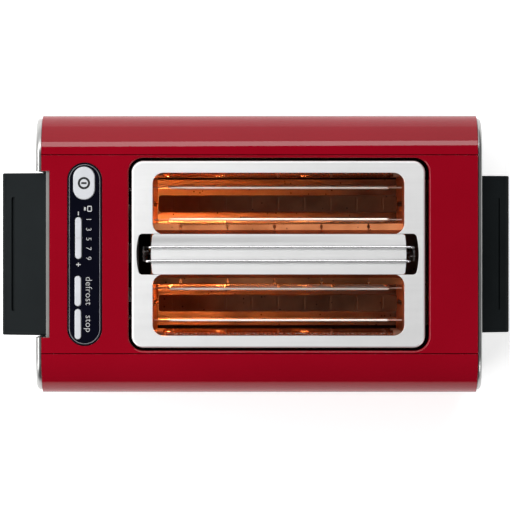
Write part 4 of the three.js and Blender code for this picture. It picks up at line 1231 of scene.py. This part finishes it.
@dataclass
class Guards:
    """The four welded wire guards that centre the bread.

    Attributes:
        top_wire: Radius of the long top wire.
        upright: Radius of the upright wires.
        uprights: How many there are.
    """

    top_wire: float = 1.0
    upright: float = 0.8
    uprights: int = 5

    def build(self) -> None:
        """Builds the guards."""
        for place, side in (("front", -1), ("rear", 1)):
            for kind in ("inner", "outer"):
                node = f"guard_{kind}_{place}"
                wire_frame = self.guard(node, side, kind == "inner")
                Shop.finish(f"{node}_wires", wire_frame, GUARD_WIRE, node, [node])

    def guard(self, node: str, side: int, inner: bool) -> Solid:
        """One guard, which leans from its bottom wire to its top wire."""
        x, y, z = spans(node)
        near, far = sorted((abs(y[0]), abs(y[1])))
        low, high = z[0] + 0.96, z[1] - 1.04
        bottom, top = (near + 0.9, far - 1.0) if inner else (far - 0.9, near + 1.0)
        at = lambda h: side * (bottom + (top - bottom) * (h - low) / (high - low))
        left, right = x[0] + 0.1, x[1] - 0.1
        first, last = x[0] + 13.2, x[1] - 11.9
        hook = 3.2
        paths = [
            ([Vector((left, at(low), low)), Vector((right, at(low), low))], 0.94),
            (fillet([(first, at(high - hook), high - hook), (first, at(high), high), (last, at(high), high),
                     (last, at(high - hook), high - hook)], 1.4), self.top_wire),
            ([Vector((left, at(high - 20), high - 20)), Vector((right, at(high - 20), high - 20))], 0.55)]
        for n in (1, 2):
            level = high - 20 + (low - high + 20) * n / 3
            ends = [Vector((end, at(level), level)) for end in (first - 3, last + 3)]
            paths.append((ends, 0.55))
        for i in range(self.uprights):
            px = first + (last - first) * i / (self.uprights - 1)
            paths.append(([Vector((px, at(low), low)), Vector((px, at(high), high))], self.upright))
        return wires(paths)


@dataclass
class BunRack:
    """The two folding rods on the centre bar and the frame that lifts them.

    Attributes:
        radius: Radius of the rods.
        bend: Where the rods' bends begin, from their corners.
        rear_bends: Where along X the rear rod turns down at its two ends.
        front_bends: The same for the front rod, which is set over so that the legs pass.
    """

    radius: float = 0.9
    bend: float = 2.6
    rear_bends: Span = (-85.8, 125.6)
    front_bends: Span = (-88.1, 123.3)

    def build(self) -> None:
        """Builds the bun rack."""
        for place, side in (("rear", 1), ("front", -1)):
            node = f"bun_bail_{place}"
            Shop.finish(f"{node}_rod", self.bail(node, side), CHROME, node, [node])
        Shop.finish("bun_lift_strap", refined("bun_lift_frame", 0.2), GALVANISED, Body.BUN_LIFT.value,
                    ["bun_lift_frame"])

    def bail(self, node: str, side: int) -> Solid:
        """A rod with a leg at each end that turns in the lift frame."""
        x, y, z = spans(node)
        low, high = z[0] + self.radius, z[1] - self.radius
        near = side * (min(abs(y[0]), abs(y[1])) + self.radius)
        far = side * (max(abs(y[0]), abs(y[1])) - self.radius)
        left, right = self.rear_bends if side > 0 else self.front_bends
        path = fillet([
            (x[0] + 0.05, near, low), (left, near, low), (left, far, high), (right, far, high),
            (right, near, low), (x[1] - 0.05, near, low)], self.bend, 8)
        return wires([(path, self.radius)], 5)


# ------------------------------------------------------------------------------------ oven
@dataclass
class Oven:
    """The bread chambers: walls, reflectors and quartz heaters.

    Attributes:
        tube: Radius and wall of a quartz tube.
        coil: Radius of the heating coil.
        filament: Radius of the coil's wire.
        holes: How many keyhole marks there are along each reflector's ledge.
    """

    tube: Span = (4.0, 0.8)
    coil: float = 1.9
    filament: float = 0.42
    holes: int = 5

    def build(self) -> None:
        """Builds the oven's pieces."""
        for node in ("chamber_wall_lever_end", "chamber_wall_cord_end"):
            Shop.finish(f"{node}_sheet", refined(node, 0.12, 1), CHAMBER, Body.BODY.value, [node])
        for place, side in (("front", -1), ("rear", 1)):
            for kind in ("inner", "outer"):
                node = f"{kind}_reflector_{place}"
                # Inner reflectors take the painted glow colour, outer ones its darker copy as painted shade.
                Shop.finish(f"{node}_sheet", self.reflector(node, side, kind == "inner"),
                            GLOW_TINTED_REFLECTOR if kind == "inner" else SHADED_REFLECTOR, Body.BODY.value, [node])
                for level in ("lower", "upper"):
                    self.heater(f"heater_{kind}_{place}_{level}")

    def reflector(self, node: str, side: int, inner: bool) -> Solid:
        """A reflector, which has keyholes along its ledge if it is an inner one."""
        x, y, _ = spans(node)
        sheet = Solid.copied(node)
        reach = x[1] - x[0]
        if inner:
            ledge = side * (max(abs(y[0]), abs(y[1])) - 2.6)
            for i in range(self.holes):
                at = x[0] + 22 + (reach - 50) * i / (self.holes - 1)
                sheet.cut(Solid.bar((at, ledge, 160), (at, ledge, 190), 1.3, 18),
                          Solid.block((at - 0.5, at + 0.5), (ledge - 2.4, ledge + 2.4), (160, 190)))
        return sheet.bevel(0.25, 2, angle=math.radians(25))

    def heater(self, node: str) -> None:
        """A quartz tube with its glowing coil and two ceramic ends."""
        x, y, z = spans(node)
        centre = (0.0, (y[0] + y[1]) / 2, (z[0] + z[1]) / 2)
        radius, wall = self.tube
        cap = 7.0
        inner = radius - wall
        ends = (x[0] + cap - 3, x[1] - cap + 3)
        profile = [(inner, ends[0]), (radius - 0.1, ends[0]), (radius - 0.1, ends[1]), (inner, ends[1])]
        tube = Solid.turned(profile, centre, Axis.X, 28)
        Shop.finish(f"{node}_tube", tube, QUARTZ, Body.BODY.value, [node])
        turns = 56
        span = (x[0] + cap, x[1] - cap)
        steps = turns * 8
        path = [Vector((span[0] + (span[1] - span[0]) * i / steps,
                        centre[1] + self.coil * math.cos(math.tau * turns * i / steps),
                        centre[2] + self.coil * math.sin(math.tau * turns * i / steps)))
                for i in range(steps + 1)]
        Shop.finish(f"{node}_coil", wires([(path, self.filament)], 1), FILAMENT, Body.BODY.value)
        plugs = [
            Solid.turned([(0.0, a), (radius, a), (radius, b), (0.0, b)], centre, Axis.X, 28).bevel(0.4, 2)
            for a, b in ((x[0], x[0] + cap), (x[1] - cap, x[1]))]
        Shop.finish(f"{node}_ends", plugs[0].beside(plugs[1]), CERAMIC, Body.BODY.value)


# ------------------------------------------------------------------------------------ base
@dataclass
class Base:
    """The base plate with its feet and screws, the crumb tray and the cord's gland.

    Attributes:
        vents: Number of vents in each row.
        lip: Half-length of the lips that close the gap behind the end caps.
    """

    vents: int = 9
    lip: float = 103.5

    def build(self) -> None:
        """Builds the base's pieces."""
        Shop.finish("base_moulding", self.plate(), BLACK, Body.BODY.value, ["base_plate"])
        Shop.finish("crumb_tray_sheet", self.tray(), TRAY_STEEL, Body.TRAY.value, ["crumb_tray"])
        for corner in ("front_left", "front_right", "rear_left", "rear_right"):
            Shop.finish(f"foot_{corner}_rubber", self.foot(f"foot_{corner}"), RUBBER, Body.BODY.value,
                        [f"foot_{corner}"])
            Shop.finish(f"base_screw_{corner}_steel", self.screw(f"base_screw_{corner}"), CHROME,
                        Body.BODY.value, [f"base_screw_{corner}"])
        Shop.finish("cord_gland_rubber", self.gland(), RUBBER, Body.BODY.value, ["cord_gland"])

    def plate(self) -> Solid:
        """The base plate, with rows of vents under the bread chambers."""
        x, _, z = spans("base_plate")
        plate = refined("base_plate", 0.5)
        for row in (-86.0, 86.0):
            for i in range(self.vents):
                at = -72.0 + 168.0 * i / (self.vents - 1)
                plate.cut(Solid.block((at - 2, at + 2), (row - 13, row + 13), (z[0] - 5, z[0] + 1.7), 1.9, 5))
        lever, cord = spans("lever_end_cap")[0], spans("cord_end_cap")[0]
        tray = spans("crumb_tray")[1][1] + 2.5
        height = (z[0] + 5.4, z[0] + 7.6)
        lips = [Solid.block((lever[1] - 1.6, x[0] + 1.0), (-self.lip, self.lip), height)]
        for side in (-1, 1):
            y = sorted((side * tray, side * self.lip))
            lips.append(Solid.block((x[1] - 1.0, cord[0] + 1.0), (y[0], y[1]), height))
        plate.join(*lips)
        return plate

    def tray(self) -> Solid:
        """The crumb tray, a shallow dish behind its front."""
        x, y, z = spans("crumb_tray")
        dish_top = z[0] + 7.0
        dish = Solid.block((x[0], x[1] - 3.2), y, (z[0], dish_top), 3.0, 6)
        dish.cut(Solid.block((x[0] + 1, x[1] - 7.2), (y[0] + 1, y[1] - 1), (z[0] + 1, dish_top + 5), 2.0, 6))
        front = Solid.block((x[1] - 7.2, x[1]), y, z).bevel(0.8, 3)
        grip = Solid.block((x[1] - 2.2, x[1] + 5), (-22, 22), (z[0] + 2.5, z[0] + 8.0))
        bottom = grip.bevel(2.0, 4, lambda e: _runs_along(e, Axis.X))
        front.cut(bottom)
        return dish.bevel(0.25, 2, angle=math.radians(60)).beside(front)

    def foot(self, node: str) -> Solid:
        """A rubber foot with a dished tread."""
        x, y, z = spans(node)
        centre = ((x[0] + x[1]) / 2, (y[0] + y[1]) / 2, z[0])
        high = z[1] - z[0]
        profile = [(0.0, 0.7), (5.6, 0.7), (6.0, 0.1), (6.6, 0.0), (8.2, 0.0), (8.8, 0.35), (9.0, 1.0),
                   (7.6, high), (0.0, high)]
        return Solid.turned(profile, centre, Axis.Z, 40)

    def screw(self, node: str) -> Solid:
        """A pan-head screw with a cross recess in its underside."""
        x, y, z = spans(node)
        centre = ((x[0] + x[1]) / 2, (y[0] + y[1]) / 2)
        head = Solid.turned(
            [(0.0, z[0]), (2.6, z[0]), (3.2, z[0] + 0.3), (3.55, z[0] + 0.9), (3.55, z[1]), (0.0, z[1])],
            (*centre, 0.0), Axis.Z, 32)
        for wide, long in ((0.8, 3.6), (3.6, 0.8)):
            head.cut(Solid.block(
                (centre[0] - wide / 2, centre[0] + wide / 2), (centre[1] - long / 2, centre[1] + long / 2),
                (z[0] - 1, z[0] + 1.0)))
        return head

    def gland(self) -> Solid:
        """The rubber gland that the cord would pass through."""
        x, y, z = spans("cord_gland")
        centre = (0.0, (y[0] + y[1]) / 2, (z[0] + z[1]) / 2)
        body = 6.5
        face = x[1] - 5.0
        profile = [(3.4, x[0]), (body, x[0]), (body, face), (9.2, face), (9.5, face + 0.4), (9.5, face + 2.0),
                   (9.0, face + 2.5), (body, face + 3.2), (5.6, x[1] - 0.3), (5.0, x[1]), (3.4, x[1])]
        return Solid.turned(profile, centre, Axis.X, 44)


# ------------------------------------------------------------------------------------ stage
@dataclass
class Studio:
    """The floor, the lights and the camera above the toaster."""

    height: float = 3.207
    lens: float = 264.7
    shift: Span = (0.0098, -0.0686)
    stand: Span = (-0.0046, 0.0274)

    def build(self) -> None:
        """Sets the whole stage."""
        self.floor()
        self.lights()
        self.camera()

    def floor(self) -> None:
        """A wide pale floor that keeps the light even."""
        mesh = bpy.data.meshes.new("floor")
        bm = bmesh.new()
        bmesh.ops.create_grid(bm, x_segments=1, y_segments=1, size=6.0)
        bm.to_mesh(mesh)
        bm.free()
        floor = bpy.data.objects.new("floor", mesh)
        bpy.context.scene.collection.objects.link(floor)
        material = bpy.data.materials.new("pale_floor")
        material.use_nodes = True
        shader = material.node_tree.nodes["Principled BSDF"]
        shader.inputs["Base Color"].default_value = (0.9, 0.9, 0.9, 1.0)
        shader.inputs["Roughness"].default_value = 0.7
        shader.inputs["Emission Color"].default_value = (1.0, 1.0, 1.0, 1.0)
        shader.inputs["Emission Strength"].default_value = 0.5
        mesh.materials.append(material)

    @staticmethod
    def softbox(name: str, place: Point, aim: Point, size: Span, power: float,
                colour: Colour = (1.0, 1.0, 1.0)) -> None:
        """A rectangular area light that faces a point."""
        light = bpy.data.lights.new(name, "AREA")
        light.shape = "RECTANGLE"
        light.size, light.size_y = size
        light.energy = power
        light.color = colour
        obj = bpy.data.objects.new(name, light)
        obj.location = place
        obj.rotation_euler = (Vector(aim) - Vector(place)).to_track_quat("-Z", "Y").to_euler()
        bpy.context.scene.collection.objects.link(obj)

    def lights(self) -> None:
        """Soft light from the rear and the lever end, with a weak even surround."""
        world = bpy.context.scene.world or bpy.data.worlds.new("surround")
        bpy.context.scene.world = world
        world.use_nodes = True
        world.node_tree.nodes["Background"].inputs[0].default_value = (1.0, 1.0, 1.0, 1.0)
        world.node_tree.nodes["Background"].inputs[1].default_value = 0.03
        self.softbox("rear_strip", (-0.8, 0.96, 1.99), (-0.5, 0.08, 0.2), (3.9, 0.5), 32.0)
        self.softbox("rear_wall", (-0.6, 1.72, 0.92), (-0.2, 0.06, 0.2), (3.7, 2.1), 26.0)
        self.softbox("front_left_softbox", (-1.7, -1.4, 1.2), (0.0, 0.0, 0.2), (0.9, 0.9), 13.0)
        self.softbox("front_right_softbox", (1.7, -1.4, 1.2), (0.0, 0.0, 0.2), (0.9, 0.9), 13.0)
        self.softbox("lever_end_softbox", (-1.35, -0.2, 1.75), (0.0, 0.0, 0.2), (2.4, 1.0), 31.0)
        self.softbox("cord_end_softbox", (1.6, 0.2, 1.6), (0.0, 0.0, 0.2), (2.0, 0.9), 2.0)
        for side in (-1, 1):
            for x, power in ((-0.074, 0.22), (-0.030, 0.10), (0.040, 0.03)):
                glow = bpy.data.lights.new("heater_glow", "POINT")
                glow.energy = power
                glow.color = (1.0, 0.30, 0.07)
                glow.shadow_soft_size = 0.003
                obj = bpy.data.objects.new("heater_glow", glow)
                obj.location = (x, side * 0.0115, 0.114)
                bpy.context.scene.collection.objects.link(obj)

    def camera(self) -> None:
        """The camera, straight above, with the framing moved by its shift."""
        data = bpy.data.cameras.new("camera")
        data.sensor_width = 36.0
        data.lens = self.lens
        data.shift_x, data.shift_y = self.shift
        data.clip_end = 50.0
        camera = bpy.data.objects.new("camera", data)
        camera.location = (*self.stand, self.height)
        bpy.context.scene.collection.objects.link(camera)
        bpy.context.scene.camera = camera
        bpy.context.scene.view_settings.view_transform = "Standard"
        bpy.context.scene.view_settings.look = "None"


def main() -> None:
    """Builds the toaster's assemblies in order and sets the stage."""
    logging.basicConfig(level=logging.INFO, format="%(name)s: %(message)s")
    for assembly in (Casing(), Grips(), Panel(), BreadLift(), Guards(), BunRack(), Oven(), Base(), Studio()):
        assembly.build()
        LOG.info("%s done, %d pieces so far", type(assembly).__name__, len(Shop.made))


if __name__ == "__main__":
    main()
